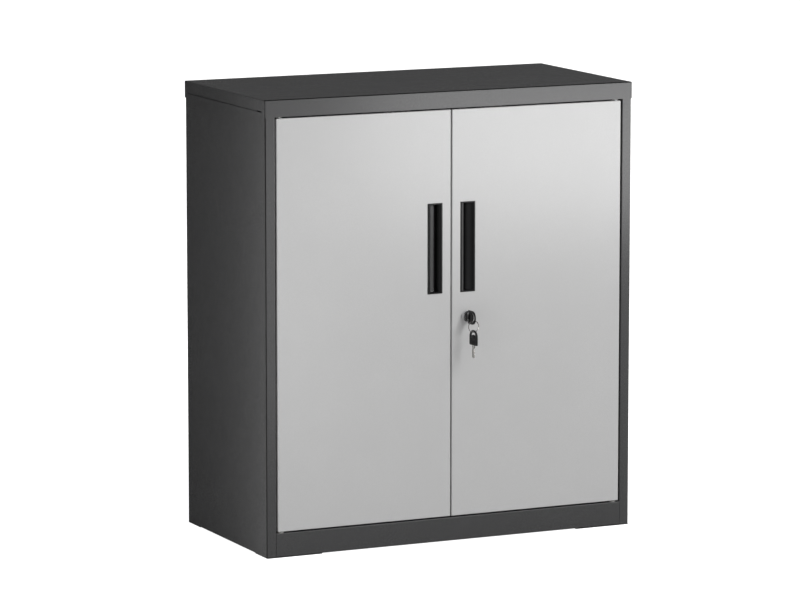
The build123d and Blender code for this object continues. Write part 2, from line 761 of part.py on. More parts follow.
def cam_screw():
    """The screw that holds the cam to the plug."""
    reach = CAM_FRONT - CAM_SCREW_REACH + CAM_THICKNESS
    screw = rod_y(LOCK_X, LOCK_Z, (reach, CAM_BACK), CAM_SCREW_RADIUS)
    screw += rod_y(LOCK_X, LOCK_Z, (CAM_BACK, CAM_BACK + CAM_SCREW_HEAD), CAM_SCREW_HEAD_RADIUS)
    return screw - block(
        (LOCK_X - CAM_SCREW_HEAD_RADIUS, LOCK_X + CAM_SCREW_HEAD_RADIUS),
        (CAM_BACK + CAM_SCREW_HEAD / 2, CAM_BACK + 2 * CAM_SCREW_HEAD),
        (LOCK_Z - SHEET / 2, LOCK_Z + SHEET / 2),
    )


def lock_rod(upper):
    """A flat rod with a cross slot for its cam pin."""
    way = 1 if upper else -1
    x = LOCK_X + way * ROD_OFFSET
    pin_z = LOCK_Z - way * ROD_STROKE / 2
    tip = (DOOR_TOP if upper else DOOR_BOTTOM) - way * ROD_TIP_INSET
    y = (ROD_FRONT, ROD_BACK)
    tail = pin_z - way * (ROD_SLOT_HALF_HEIGHT + ROD_END_MARGIN)
    head = pin_z + way * (ROD_SLOT_HALF_HEIGHT + ROD_END_MARGIN)
    rod = block((x - ROD_WIDTH / 2, x + ROD_WIDTH / 2), y, (head, tip))
    rod += block(
        (
            LOCK_X + way * (ROD_SLOT_NEAR - ROD_SIDE_MARGIN),
            LOCK_X + way * (ROD_SLOT_FAR + ROD_SIDE_MARGIN),
        ),
        y,
        (tail, head),
    )
    return rod - block(
        (LOCK_X + way * ROD_SLOT_NEAR, LOCK_X + way * ROD_SLOT_FAR),
        (ROD_FRONT - SHEET, ROD_BACK + SHEET),
        (pin_z - ROD_SLOT_HALF_HEIGHT, pin_z + ROD_SLOT_HALF_HEIGHT),
    )


def rod_guide(upper):
    """A strap over a rod, its feet on the door's top or bottom lip."""
    way = 1 if upper else -1
    x = LOCK_X + way * ROD_OFFSET
    edge = (DOOR_TOP if upper else DOOR_BOTTOM) - way * BEND
    z = (edge - way * GUIDE_HEIGHT, edge)
    inner = ROD_WIDTH / 2 + BODY_GAP
    outer = inner + GUIDE_SHEET
    back = ROD_BACK + BODY_GAP + GUIDE_SHEET
    strap = block((x - outer, x + outer), (DOOR_BACK, back), z)
    strap += block(
        (x - outer - GUIDE_FOOT, x + outer + GUIDE_FOOT),
        (DOOR_BACK, DOOR_BACK + GUIDE_SHEET),
        z,
    )
    return strap - block(
        (x - inner, x + inner),
        (DOOR_BACK - SHEET, ROD_BACK + BODY_GAP),
        (z[0] - way * SHEET, z[1] + way * SHEET),
    )


def key_blade():
    """The key in the lock: a flat blade with cuts along its lower edge."""
    tip = KEY_BOW_FRONT + KEY_SHOULDER_GAP + KEY_INSERTED
    half = KEY_BLADE_WIDTH / 2
    blade = block(
        (LOCK_X - KEY_BLADE_THICKNESS / 2, LOCK_X + KEY_BLADE_THICKNESS / 2),
        (KEY_BOW_FRONT - KEY_TANG, tip),
        (LOCK_Z - half, LOCK_Z + half),
    )
    blade = chamfer(blade.edges().filter_by(Axis.X).group_by(Axis.Y)[-1], KEY_POINT)
    step = KEY_INSERTED / (len(KEY_CUTS) + 1)
    for i, depth in enumerate(KEY_CUTS):
        y = tip - step * (i + 1)
        blade -= block(
            (LOCK_X - KEYWAY_WIDTH, LOCK_X + KEYWAY_WIDTH),
            (y - step / 4, y + step / 4),
            (LOCK_Z - half - depth, LOCK_Z - half + depth),
        )
    return blade


def key_bow():
    """The moulded head of the key in the lock, with a wide loop at its far end."""
    plane = Plane.YZ.offset(LOCK_X - KEY_BOW_THICKNESS / 2)
    middle = (KEY_BOW_FRONT + KEY_FAR_END) / 2
    head = RectangleRounded(KEY_BOW_LENGTH, KEY_BOW_WIDTH, KEY_BOW_CORNER)
    loop = RectangleRounded(KEY_LOOP_LENGTH, KEY_LOOP_WIDTH, KEY_LOOP_CORNER)
    outline = Pos(middle, LOCK_Z) * head - Pos(RING_Y, LOCK_Z) * loop
    bow = extrude(plane * outline, KEY_BOW_THICKNESS)
    half = KEY_BLADE_WIDTH / 2
    return bow - block(
        (LOCK_X - KEY_BLADE_THICKNESS / 2, LOCK_X + KEY_BLADE_THICKNESS / 2),
        (KEY_BOW_FRONT - KEY_TANG, KEY_BOW_FRONT + SHEET),
        (LOCK_Z - half, LOCK_Z + half),
    )


def key_ring():
    """The wire ring through both key heads."""
    centre = (LOCK_X, RING_Y, RING_TOP_Z - RING_RADIUS)
    return Pos(*centre) * Rot(90, 0, 0) * Torus(RING_RADIUS, RING_WIRE_RADIUS)


def hanging(shape):
    """The same key part as it hangs from the ring, blade down."""
    far_end_to_top = Pos(0, RING_Y, SPARE_TOP_Z) * Rot(-90, 0, 0)
    return far_end_to_top * Pos(0, -KEY_FAR_END, -LOCK_Z) * shape


def write(name, shape):
    """Writes one named piece and says how large it is."""
    shape.label = name
    export_step(shape, f"parts/{name}.step")
    size = shape.bounding_box().size
    print(f"{name:26s} {size.X:8.1f} {size.Y:8.1f} {size.Z:8.1f}")


def pair(name, shape):
    """Writes a right-hand piece and its left-hand mirror image."""
    write(f"right_{name}", shape)
    write(f"left_{name}", mirrored(shape))


def main():
    os.makedirs("parts", exist_ok=True)
    write("top_panel", top_panel())
    pair("top_rail", mirrored(top_rail()))
    pair("side_panel", mirrored(side_panel()))
    write("back_panel", back_panel())
    write("back_rivets", back_rivets())
    write("plinth", plinth())
    write("bottom_panel", bottom_panel())
    pair("front_foot_plate", mirrored(foot_plate(front=True)))
    pair("back_foot_plate", mirrored(foot_plate(front=False)))
    pair("front_upright", mirrored(upright(FRONT_UPRIGHT_Y)))
    pair("back_upright", mirrored(upright(BACK_UPRIGHT_Y)))
    for name, level in (("lower", LOWER_SHELF_LEVEL), ("upper", UPPER_SHELF_LEVEL)):
        write(f"{name}_shelf", shelf(level))
        write(f"{name}_shelf_stiffener", shelf_stiffener(level))
        write(f"{name}_shelf_clips", shelf_clips(level))
    write("left_door_panel", mirrored(door_pan()))
    write("right_door_panel", right_door_panel())
    pair("door_rib", door_rib())
    pair("handle_cup", handle_cup())
    pair("top_pivot_pin", pivot_pin(top=True))
    pair("bottom_pivot_pin", pivot_pin(top=False))
    pair("top_pivot_bush", pivot_bush(top=True))
    pair("bottom_pivot_bush", pivot_bush(top=False))
    pair("magnetic_catch", catch_case())
    pair("catch_strike", catch_strike())
    write("lock_barrel", lock_barrel())
    write("lock_nut", lock_nut())
    write("lock_plug", lock_plug())
    write("lock_cam", lock_cam())
    write("cam_screw", cam_screw())
    write("upper_lock_rod", lock_rod(upper=True))
    write("lower_lock_rod", lock_rod(upper=False))
    write("upper_rod_guide", rod_guide(upper=True))
    write("lower_rod_guide", rod_guide(upper=False))
    write("key_blade", key_blade())
    write("key_bow", key_bow())
    write("key_ring", key_ring())
    write("spare_key_blade", hanging(key_blade()))
    write("spare_key_bow", hanging(key_bow()))


main()
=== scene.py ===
# %% [markdown]
# # A steel tool cabinet with two doors
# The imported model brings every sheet-metal part at its real size, in metres, with +Z up and
# the doors facing -Y. This lesson dresses it: first the camera and the lamps, then the room
# and one finish after another, and last the small parts that deserve a mesh of their own.
# Working in the frame's own coordinates means that nothing has to be fitted afterwards.

# %% Load the frame
import json
import math

import bmesh
import bpy
from mathutils import Matrix, Vector


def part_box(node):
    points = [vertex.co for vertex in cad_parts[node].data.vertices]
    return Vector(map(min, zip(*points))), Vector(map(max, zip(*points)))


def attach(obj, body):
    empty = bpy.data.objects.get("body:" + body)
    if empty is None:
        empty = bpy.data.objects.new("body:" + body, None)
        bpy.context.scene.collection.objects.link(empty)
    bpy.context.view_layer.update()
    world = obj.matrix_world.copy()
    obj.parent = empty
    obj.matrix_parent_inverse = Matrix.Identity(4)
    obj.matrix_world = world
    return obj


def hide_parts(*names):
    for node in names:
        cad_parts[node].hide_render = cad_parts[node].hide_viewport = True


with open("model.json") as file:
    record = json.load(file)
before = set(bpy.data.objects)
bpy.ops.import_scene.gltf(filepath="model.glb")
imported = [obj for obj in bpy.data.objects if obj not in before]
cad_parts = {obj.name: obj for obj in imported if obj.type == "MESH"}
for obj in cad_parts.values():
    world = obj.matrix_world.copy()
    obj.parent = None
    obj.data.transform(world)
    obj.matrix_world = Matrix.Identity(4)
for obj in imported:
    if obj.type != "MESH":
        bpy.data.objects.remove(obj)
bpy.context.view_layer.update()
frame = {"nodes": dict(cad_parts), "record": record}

MM = 0.001


def box_mm(node):
    """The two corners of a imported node, in millimetres."""
    return [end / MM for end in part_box(node)]


# %% [markdown]
# ## The camera
# Furniture is pictured from far away with a long lens, so that upright edges stay nearly
# parallel. Saying how far round, how high and how far away the camera stands is easier to
# read and to change than its coordinates.

# %% Camera
VIEW_AZIMUTH = math.radians(-25.216)
VIEW_ELEVATION = math.radians(8.826)
VIEW_DISTANCE = 9.3105
VIEW_TARGET = Vector((-0.0177, 0.0233, 0.4586))
LENS = 208.39
SENSOR = 36.0
FURTHEST_SEEN = 100.0


def linked(name, data):
    """A new object in the scene."""
    made = bpy.data.objects.new(name, data)
    bpy.context.scene.collection.objects.link(made)
    return made


def direction(azimuth, elevation):
    """The way from the object towards a viewer; azimuth 0 is straight in front."""
    level = math.cos(elevation)
    return Vector(
        (math.sin(azimuth) * level, -math.cos(azimuth) * level, math.sin(elevation))
    )


def aim(thing, place, target):
    """Stands a camera or lamp at a place, looking at a target."""
    gaze = Vector(target) - Vector(place)
    thing.location = place
    thing.rotation_euler = gaze.to_track_quat("-Z", "Y").to_euler()


camera = linked("camera", bpy.data.cameras.new("camera"))
camera.data.sensor_width = SENSOR
camera.data.lens = LENS
camera.data.clip_end = FURTHEST_SEEN
tripod = VIEW_TARGET + VIEW_DISTANCE * direction(VIEW_AZIMUTH, VIEW_ELEVATION)
aim(camera, tripod, VIEW_TARGET)
bpy.context.scene.camera = camera
print("camera at", [round(c, 3) for c in camera.location])

# %% [markdown]
# ## Lamps
# Paint's colour scatters whatever light falls on it, and its skin mirrors what stands
# opposite. A lamp can be hidden from either kind of ray, so the lamps here light the colour
# and the cards are seen only in the gloss. The near, far and right cards make the soft
# bright corner on the doors, the left and stile cards lift the shaded half, and the side
# card makes the left wall fade towards the back. All of them end below the top, which would
# mirror a higher card as a white glare when it is seen from behind.

# %% Lamps and cards
def only_for(lamp, gloss):
    """Leaves a lamp to the reflections, or keeps it out of them."""
    lamp.visible_glossy = gloss
    lamp.visible_diffuse = not gloss
    lamp.visible_camera = False


def softbox(name, place, target, size, watts, gloss):
    """A rectangular area lamp, aimed at a point on the cabinet."""
    data = bpy.data.lights.new(name, "AREA")
    data.shape = "RECTANGLE"
    data.size, data.size_y = size
    data.energy = watts
    lamp = linked(name, data)
    aim(lamp, place, target)
    only_for(lamp, gloss)


def soft_sun(name, towards, strength, spread):
    """Light from everywhere round one direction; a wide spread leaves no shadow edge."""
    data = bpy.data.lights.new(name, "SUN")
    data.energy = strength
    data.angle = math.radians(spread)
    lamp = linked(name, data)
    aim(lamp, Vector(towards), (0, 0, 0))
    only_for(lamp, False)


# A row is a place, a target, a width and height, all in metres, and a power in watts.
LAMPS = {
    "key": ((0.9, -1.6, 1.9), (0.3, -0.18, 0.7), (0.8, 0.8), 23.2),
    "fill": ((-1.2, -0.9, 0.45), (-0.4, -0.1, 0.45), (0.3, 1.8), 4.5),
    "back": ((0.9, 2.4, 1.4), (0.1, 0.2, 0.5), (1.6, 1.6), 18),
}
CARDS = {
    "near_card": ((0.65, -0.95, 0.7), (0.2, -0.18, 0.74), (0.9, 0.38), 4.2),
    "far_card": ((1.1, -1.55, 0.64), (0.3, -0.18, 0.6), (1.5, 0.5), 1.0),
    "right_card": ((1.28, -0.68, 0.4), (0.0, -0.2, 0.42), (0.6, 1.0), 6.6),
    "left_card": ((-1.0, -1.1, 0.3), (0.0, -0.18, 0.45), (0.8, 1.0), 0.9),
    "stile_card": ((0.08, -1.3, 0.37), (-0.39, -0.18, 0.5), (0.3, 0.7), 0.8),
    "side_card": ((-0.8, 0.15, 0.19), (-0.4, 0.15, 0.19), (0.8, 1.38), 6.4),
}
soft_sun("overhead", (0, 0, 1), strength=1.08, spread=20)
soft_sun("front", (0.25, -1, 1), strength=1.3, spread=60)
for rows, gloss in ((LAMPS, False), (CARDS, True)):
    for name, row in rows.items():
        softbox(name, *row, gloss)
bpy.context.scene.view_settings.view_transform = "Standard"
print(len(bpy.data.lights), "lamps")

# %% [markdown]
# ## Sums in a shader
# Blender's materials are graphs, and even a short formula takes several Math nodes. Wrapping
# a socket in a small class lets the formula be written as Python: the operators add the
# nodes. The reflected forms make `1 - mask` work as well as `mask - 1`.

# %% Shader arithmetic
class Signal:
    """A number that flows through a node tree, with the operators that are needed here."""

    def __init__(self, graph, socket):
        self.graph = graph
        self.socket = socket

    def _math(self, operation, first, second):
        pair = {0: first, 1: second}
        return self.graph.signal("ShaderNodeMath", pair, operation=operation)

    def __add__(self, other):
        return self._math("ADD", self, other)

    def __sub__(self, other):
        return self._math("SUBTRACT", self, other)

    def __rsub__(self, other):
        return self._math("SUBTRACT", other, self)

    def __mul__(self, other):
        return self._math("MULTIPLY", self, other)

    def __abs__(self):
        return self._math("ABSOLUTE", self, 0)

    __radd__ = __add__


class Graph:
    """A node tree and the one way in which this lesson adds nodes to it."""

    def __init__(self, tree):
        self.tree = tree

    def node(self, kind, inputs=None, **settings):
        """Adds a node, sets it up, and then fills or links its sockets."""
        made = self.tree.nodes.new(kind)
        for name, value in settings.items():
            setattr(made, name, value)
        for name, value in (inputs or {}).items():
            self.join(value, made.inputs[name])
        return made

    def join(self, value, socket):
        """Links a signal, a socket or a node's first output; sets anything else."""
        if isinstance(value, Signal):
            value = value.socket
        if isinstance(value, bpy.types.Node):
            value = value.outputs[0]
        if isinstance(value, bpy.types.NodeSocket):
            self.tree.links.new(value, socket)
        else:
            socket.default_value = value

    def signal(self, kind, inputs=None, **settings):
        """Adds a node and gives its first output, ready for sums."""
        return Signal(self, self.node(kind, inputs, **settings).outputs[0])


print("a signal can be added, subtracted, multiplied and made positive")

# %% [markdown]
# ## One class for every finish
# Each finish is the same kind of graph: soft noise on the piece's own coordinates, a colour
# and a roughness that follow it, and a bump. A method for each of those keeps the recipes
# to a few lines. A finish also remembers the record's name for its material slot, and every
# new piece passes that on, so that it can be repainted.

# %% A finish under construction
class Finish(Graph):
    """One material under construction: a Principled shader and the nodes that feed it."""

    def __init__(self, name, **constants):
        self.material = bpy.data.materials.new(name)
        self.material.use_nodes = True
        self.material["slot"] = name
        super().__init__(self.material.node_tree)
        self.shader = self.tree.nodes["Principled BSDF"]
        self.feed(**constants)
        self.place = self.node("ShaderNodeTexCoord").outputs["Object"]

    def noise(self, size, detail=2.0, stretch=(1, 1, 1)):
        """Soft random spots of about this size in metres, from 0 to 1."""
        scale = [s / size for s in stretch]
        spread = self.node("ShaderNodeMapping", {"Vector": self.place, "Scale": scale})
        return self.signal(
            "ShaderNodeTexNoise", {"Vector": spread, "Scale": 1.0, "Detail": detail}
        )

    def fade(self, value, start, end, rest=0.0):
        """1 up to the start, then smoothly down to the rest level at the end."""
        levels = {"From Min": start, "From Max": end, "To Min": 1.0, "To Max": rest}
        return self.signal(
            "ShaderNodeMapRange", {"Value": value, **levels}, interpolation_type="SMOOTHSTEP"
        )

    def between(self, factor, first, second):
        """A colour that goes from the first to the second."""
        ready = bpy.types.NodeSocket
        first, second = (c if isinstance(c, ready) else (*c, 1) for c in (first, second))
        mix = {0: factor, 6: first, 7: second}
        return self.node("ShaderNodeMix", mix, data_type="RGBA").outputs[2]

    def feed(self, **signals):
        """Fills or links the shader's own sockets."""
        for name, value in signals.items():
            self.join(value, self.shader.inputs[name.replace("_", " ")])

    def relief(self, height, depth):
        """Raises the surface by a signal, this deep in metres where the signal is 1."""
        bump = {"Strength": 1.0, "Distance": depth, "Height": height}
        self.feed(Normal=self.node("ShaderNodeBump", bump))


def swing(signal, share):
    """A signal's rise and fall about its middle, cut down to a share of it."""
    return (signal - 0.5) * share


def tinted(colour, share):
    """A colour made lighter or darker by a share of itself."""
    return [c * (1 + share) for c in colour]


print("finishes can be mixed")

# %% [markdown]
# ## Floor and room
# The floor is a wide pale disc, so that it fills the view from any side. It glows for the
# camera alone, like a white sweep with lamps of its own that are kept off the cabinet.
# Round it is a dim room, with a white backdrop that only the camera sees: a bright sky all
# round would wash out the reflections that show where the steel is bent. Both ask a Light
# Path node, whose first output says whether a ray comes from the camera.

# %% Floor and room
FLOOR_RADIUS = 30.0
FLOOR_EDGES = 96
FLOOR_COLOUR = (0.62, 0.62, 0.62, 1)
FLOOR_GLOW = 0.9
BACKDROP_WHITE = 1.0
ROOM_GREY = 0.05


def pale_floor():
    """The disc that the cabinet stands on, kept out of the reflections."""
    mesh = bpy.data.meshes.new("floor")
    shape = bmesh.new()
    bmesh.ops.create_circle(shape, cap_ends=True, segments=FLOOR_EDGES, radius=FLOOR_RADIUS)
    shape.to_mesh(mesh)
    shape.free()
    finish = Finish("pale_floor", Roughness=1.0, Specular_IOR_Level=0.0)
    seen = finish.node("ShaderNodeLightPath")
    finish.feed(Base_Color=FLOOR_COLOUR, Emission_Color=seen, Emission_Strength=FLOOR_GLOW)
    mesh.materials.append(finish.material)
    floor = linked("floor", mesh)
    floor.visible_glossy = False


def studio_room():
    """A white background to look at, and a dim room for everything else."""
    world = bpy.data.worlds.new("studio")
    world.use_nodes = True
    sky = Graph(world.node_tree)
    seen = sky.node("ShaderNodeLightPath")
    levels = {"Value": seen, "To Min": ROOM_GREY, "To Max": BACKDROP_WHITE}
    background = sky.tree.nodes["Background"].inputs
    sky.join(sky.node("ShaderNodeMapRange", levels), background["Strength"])
    sky.join((1, 1, 1, 1), background["Color"])
    bpy.context.scene.world = world


pale_floor()
studio_room()
print(f"a floor {2 * FLOOR_RADIUS:.0f} m across, in a room {ROOM_GREY} bright")

# %% [markdown]
# ## Powder coat
# The steel is sprayed with dry powder and baked. The melt flows into a skin with a faint
# orange peel, a finer grain on top of it, and a sheen that is never quite even, while its
# colour hardly changes. Along the sharp outer bends of the carcass the colour is darkened as
# painted shade and the skin made rougher. The imported boxes say where the bends are, so the
# distances in from two faces, each faded out over a few millimetres, give that line's mask.

# %% Powder coat
PEEL_SIZE = 2.2 * MM
PEEL_DEPTH = 0.010 * MM
PEEL_SHARE = 0.7
GRAIN_SIZE = 0.6 * MM
GRAIN_SHEEN = 0.05
CLOUD_SIZE = 180 * MM
CLOUD_TINT = 0.012
CLOUD_SHEEN = 0.02
BEND_SHADE = 0.95
BEND_SHEEN = 0.7
# How far in from a face the painted bend shade is whole, and where it ends.
WALL_IN = (0.3 * MM, 1.0 * MM)
WALL_BACK = (3.4 * MM, 6.0 * MM)
CAP_DOWN = (1.2 * MM, 1.8 * MM)
CAP_BACK = (2.3 * MM, 4.0 * MM)
CAP_SKIRT = 1.0 * MM
CAP_CORNER = 0.5


def outer_bends(finish):
    """The painted-shade mask: 1 on the carcass's front outer bends, fading to 0 just behind
    them.
    """
    apart = finish.node("ShaderNodeSeparateXYZ", {0: finish.place})
    x, y, z = (Signal(finish, socket) for socket in apart.outputs)
    wall_low, wall_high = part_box("right_side_panel")
    cap_low, cap_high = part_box("top_panel")
    wall = finish.fade(wall_high.x - abs(x), *WALL_IN)
    wall *= finish.fade(y - wall_low.y, *WALL_BACK)
    wall *= finish.fade(z, cap_low.z - CAP_SKIRT, cap_low.z, CAP_CORNER)
    cap = finish.fade(cap_high.z - z, *CAP_DOWN)
    cap *= finish.fade(y - cap_low.y, *CAP_BACK)
    return wall + cap


def powder_coat(name, colour, roughness, bends=False):
    """Baked powder paint on steel, with painted shade and a rougher skin along the carcass
    bends.
    """
    finish = Finish(name)
    peel = finish.noise(PEEL_SIZE)
    grain = finish.noise(GRAIN_SIZE)
    cloud = finish.noise(CLOUD_SIZE)
    paint = finish.between(cloud, tinted(colour, -CLOUD_TINT), tinted(colour, CLOUD_TINT))
    sheen = roughness + swing(cloud, CLOUD_SHEEN) + swing(grain, GRAIN_SHEEN)
    if bends:
        # Painted shade: the colour is darkened along the outer bends, and the skin made
        # rougher there.
        bend_shade_mask = outer_bends(finish)
        paint = finish.between(bend_shade_mask, paint, tinted(colour, -BEND_SHADE))
        sheen += bend_shade_mask * BEND_SHEEN
    finish.feed(Base_Color=paint, Roughness=sheen)
    finish.relief(peel * PEEL_SHARE + grain * (1 - PEEL_SHARE), PEEL_DEPTH)
    return finish.material


carcass_paint = powder_coat("carcass_paint", (0.065, 0.065, 0.066), 0.27, bends=True)
door_paint = powder_coat("door_paint", (0.50, 0.50, 0.50), 0.27)
print(carcass_paint["slot"], door_paint["slot"])

# %% [markdown]
# ## Plastic, plate and nylon
# The handle cups and key heads are moulded black plastic with a spark-eroded grain. The
# lock is chrome on zinc, the hidden steel is bright zinc plate, and the keys are nickel:
# three metals that differ in tint, in roughness and in the direction of their scratches.

# %% The other finishes
MOULD_GRAIN = 0.35 * MM
MOULD_DEPTH = 0.006 * MM
MOULD_SHEEN = 0.08
WIPE_SIZE = 25 * MM
WIPE_TINT = 0.08
WIPE_SHEEN = 0.10
SCRATCH_SIZE = 0.25 * MM
SCRATCH_SHEEN = 0.10
PATCH_SHEEN = 0.08


def moulded_plastic(name, colour, roughness, gloss):
    """Plastic from a textured mould, wiped by hands."""
    finish = Finish(name, Specular_IOR_Level=gloss)
    grain = finish.noise(MOULD_GRAIN, detail=3.0)
    wipe = finish.noise(WIPE_SIZE)
    ends = tinted(colour, -WIPE_TINT), tinted(colour, WIPE_TINT)
    finish.feed(
        Base_Color=finish.between(wipe, *ends),
        Roughness=roughness + swing(wipe, WIPE_SHEEN) + swing(grain, MOULD_SHEEN),
    )
    finish.relief(grain, MOULD_DEPTH)
    return finish.material


def plated_metal(name, dark, light, roughness, patch, brush, depth):
    """Plated metal: tinted patches, and fine scratches along the brushed direction."""
    finish = Finish(name, Metallic=1.0)
    tint = finish.noise(patch, detail=3.0)
    scratch = finish.noise(SCRATCH_SIZE, detail=2.0, stretch=brush)
    finish.feed(
        Base_Color=finish.between(tint, dark, light),
        Roughness=roughness + swing(tint, PATCH_SHEEN) + swing(scratch, SCRATCH_SHEEN),
    )
    finish.relief(scratch, depth)
    return finish.material


black_plastic = moulded_plastic("black_plastic", (0.009, 0.009, 0.0095), 0.31, gloss=0.3)
white_nylon = moulded_plastic("white_nylon", (0.72, 0.71, 0.67), 0.5, gloss=0.5)
chrome_plate = plated_metal(
    "chrome_plate", (0.66, 0.67, 0.68), (0.78, 0.78, 0.79), 0.12,
    patch=6 * MM, brush=(1, 1, 1), depth=0.0005 * MM,
)
zinc_plate = plated_metal(
    "zinc_plated_steel", (0.50, 0.52, 0.55), (0.66, 0.66, 0.64), 0.34,
    patch=9 * MM, brush=(1, 1, 0.05), depth=0.002 * MM,
)
nickel_plate = plated_metal(
    "nickel_plate", (0.58, 0.57, 0.54), (0.70, 0.69, 0.67), 0.24,
    patch=4 * MM, brush=(1, 1, 0.1), depth=0.001 * MM,
)
FINISHES = (
    carcass_paint, door_paint, black_plastic, chrome_plate, zinc_plate, nickel_plate,
    white_nylon,
)
print(len(FINISHES), "finishes")

# %% [markdown]
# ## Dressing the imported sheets
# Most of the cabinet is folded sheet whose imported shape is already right: it only needs its
# finish. The record says which material slot each node has, so the nodes are dressed in one
# loop and none can be forgotten. Only the material is given; the mesh is left alone.

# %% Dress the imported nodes
def dress(node, material):
    """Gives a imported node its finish."""
    if not node.material_slots:
        node.data.materials.append(material)
    for slot in node.material_slots:
        slot.material = material


finish_of = {material["slot"]: material for material in FINISHES}
for part in frame["record"]["subparts"]:
    dress(frame["nodes"][part["node"]], finish_of[part["material_slot"]])

# %% [markdown]
# ## From a mesh to a finished piece
# Every piece that follows ends in the same way: its doubled points are merged, its faces are
# turned outwards, its soft edges are shaded smooth and its sharp ones left crisp, and it is
# given a finish and a body to ride on. One function does that, so no piece can miss a step.
# The mesh is built where the piece belongs and its object stays at the origin, because a
# pattern on object coordinates would slide with an object that was moved.

# %% Finishing a piece
CREASE = math.radians(32)
EASE_ANGLE = math.radians(30)
MERGE = 0.001 * MM


def mesh_of(name, shape):
    """A clean mesh from a bmesh under construction."""
    bmesh.ops.remove_doubles(shape, verts=shape.verts, dist=MERGE)
    bmesh.ops.recalc_face_normals(shape, faces=shape.faces)
    mesh = bpy.data.meshes.new(name)
    shape.to_mesh(mesh)
    shape.free()
    return mesh


def baked(piece):
    """Applies a piece's modifiers, leaving one plain mesh."""
    bpy.context.view_layer.update()
    ready = piece.evaluated_get(bpy.context.evaluated_depsgraph_get())
    mesh = bpy.data.meshes.new_from_object(ready)
    piece.modifiers.clear()
    piece.data = mesh
    return piece


def settle(piece, material, body, nodes=()):
    """Gives a piece its finish and its body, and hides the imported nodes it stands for."""
    mesh = piece.data
    mesh.materials.clear()
    mesh.materials.append(material)
    mesh.polygons.foreach_set("use_smooth", [True] * len(mesh.polygons))
    mesh.set_sharp_from_angle(angle=CREASE)
    mesh.update()
    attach(piece, body)
    if nodes:
        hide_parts(*nodes)
    print(f"{piece.name}: {len(mesh.polygons)} faces on {body}")


def cut_with(piece, cutter, operation="DIFFERENCE"):
    """Cuts one closed mesh with another, and throws the cutter away."""
    cut = piece.modifiers.new("cut", "BOOLEAN")
    cut.operation = operation
    cut.solver = "EXACT"
    cut.object = cutter
    baked(piece)
    bpy.data.objects.remove(cutter)
    return piece


def eased(piece, width, segments=2):
    """Rounds a piece's sharp edges by this many millimetres, as moulding does."""
    edge = piece.modifiers.new("eased", "BEVEL")
    edge.width = width * MM
    edge.segments = segments
    edge.limit_method = "ANGLE"
    edge.angle_limit = EASE_ANGLE
    return baked(piece)


print(f"edges over {math.degrees(CREASE):.0f} degrees stay crisp")

# %% [markdown]
# ## The recessed handles
# Each door has a moulded cup sunk in its skin. A finger slides down a ramp on the hinge side
# and hooks behind a lip on the free side. The shape is one section run along the cup's
# height, and its two ends round up to the rim like the ends of a trough. So the cup is a
# grid of points: across it they follow the section, and near each end they sink less and
# less deep, until they lie in the rim.

# %% Curves for sections
def bezier(start, pull_start, pull_end, end, steps):
    """Points along a Bezier curve, without its first point."""
    points = []
    for i in range(1, steps + 1):
        t = i / steps
        u = 1 - t
        weights = (u**3, 3 * u * u * t, 3 * u * t * t, t**3)
        pulls = (start, pull_start, pull_end, end)
        points.append(
            tuple(sum(w * p[axis] for w, p in zip(weights, pulls)) for axis in range(2))
        )
    return points


def section(start, *curves):
    """A chain of Bezier curves, each given by two pulls, an end and a number of steps."""
    points = [start]
    for pull_start, pull_end, end, steps in curves:
        points += bezier(points[-1], pull_start, pull_end, end, steps)
    return points


# Across the right cup, from its free edge: millimetres along the door, then into it.
CUP_SECTION = section(
    (0.0, 1.2),
    ((0.0, 0.85), (0.2, 0.68), (0.5, 0.55), 4),
    ((1.1, 0.32), (1.7, 0.1), (2.4, 0.12), 4),
    ((4.0, 0.2), (5.6, 1.35), (7.2, 2.2), 8),
    ((8.5, 2.85), (8.5, 3.6), (7.2, 3.65), 8),
    ((5.6, 3.7), (3.0, 3.6), (3.0, 5.4), 8),
    ((3.0, 9.0), (2.8, 14.8), (6.5, 14.8), 8),
    ((7.4, 14.8), (8.2, 14.8), (8.8, 14.7), 2),
    ((12.0, 14.0), (12.2, 8.9), (16.5, 7.35), 14),
    ((18.6, 6.6), (22.8, 5.5), (24.8, 4.7), 10),
    ((26.8, 3.6), (28.2, 0.9), (29.4, 0.35), 12),
    ((29.7, 0.14), (30.0, 0.04), (30.3, 0.06), 3),
    ((30.9, 0.12), (31.6, 0.32), (32.2, 0.55), 5),
    ((32.5, 0.68), (32.7, 0.85), (32.7, 1.2), 4),
)
CUP_RAMP_END = CUP_SECTION.index((29.4, 0.35))
CUP_MOUTH_START = 9
print(len(CUP_SECTION), "points across a cup")

# %% [markdown]
# The rim rolls over at each end of the cup, then stays flat for a little, and only then does
# the trough begin. Its depth grows along a squared-off quarter circle, steep at the rim and
# level at full depth, with its rows closest together where the curve is tightest.

# %% Rows along a cup
# Distance from the cup's end, and how far the rolled rim has fallen there.
RIM_ROLL = ((0.0, 1.2), (0.1, 0.7), (0.35, 0.3), (0.8, 0.06), (2.3, 0.0))
RIM_FLAT = RIM_ROLL[-1][0]
END_LENGTH = 6.0
END_STEPS = 12
CUP_SQUARENESS = 2.4


def cup_rows(height):
    """Distances along the cup's height, with how deep it is and how far its rim falls."""
    rows = [(z, 0.0, fall) for z, fall in RIM_ROLL]
    for i in range(1, END_STEPS + 1):
        t = i / END_STEPS
        depth = (1 - (1 - t) ** CUP_SQUARENESS) ** (1 / CUP_SQUARENESS)
        rows.append((RIM_FLAT + END_LENGTH * t * t, depth, 0.0))
    return rows + [(height - z, depth, fall) for z, depth, fall in reversed(rows)]


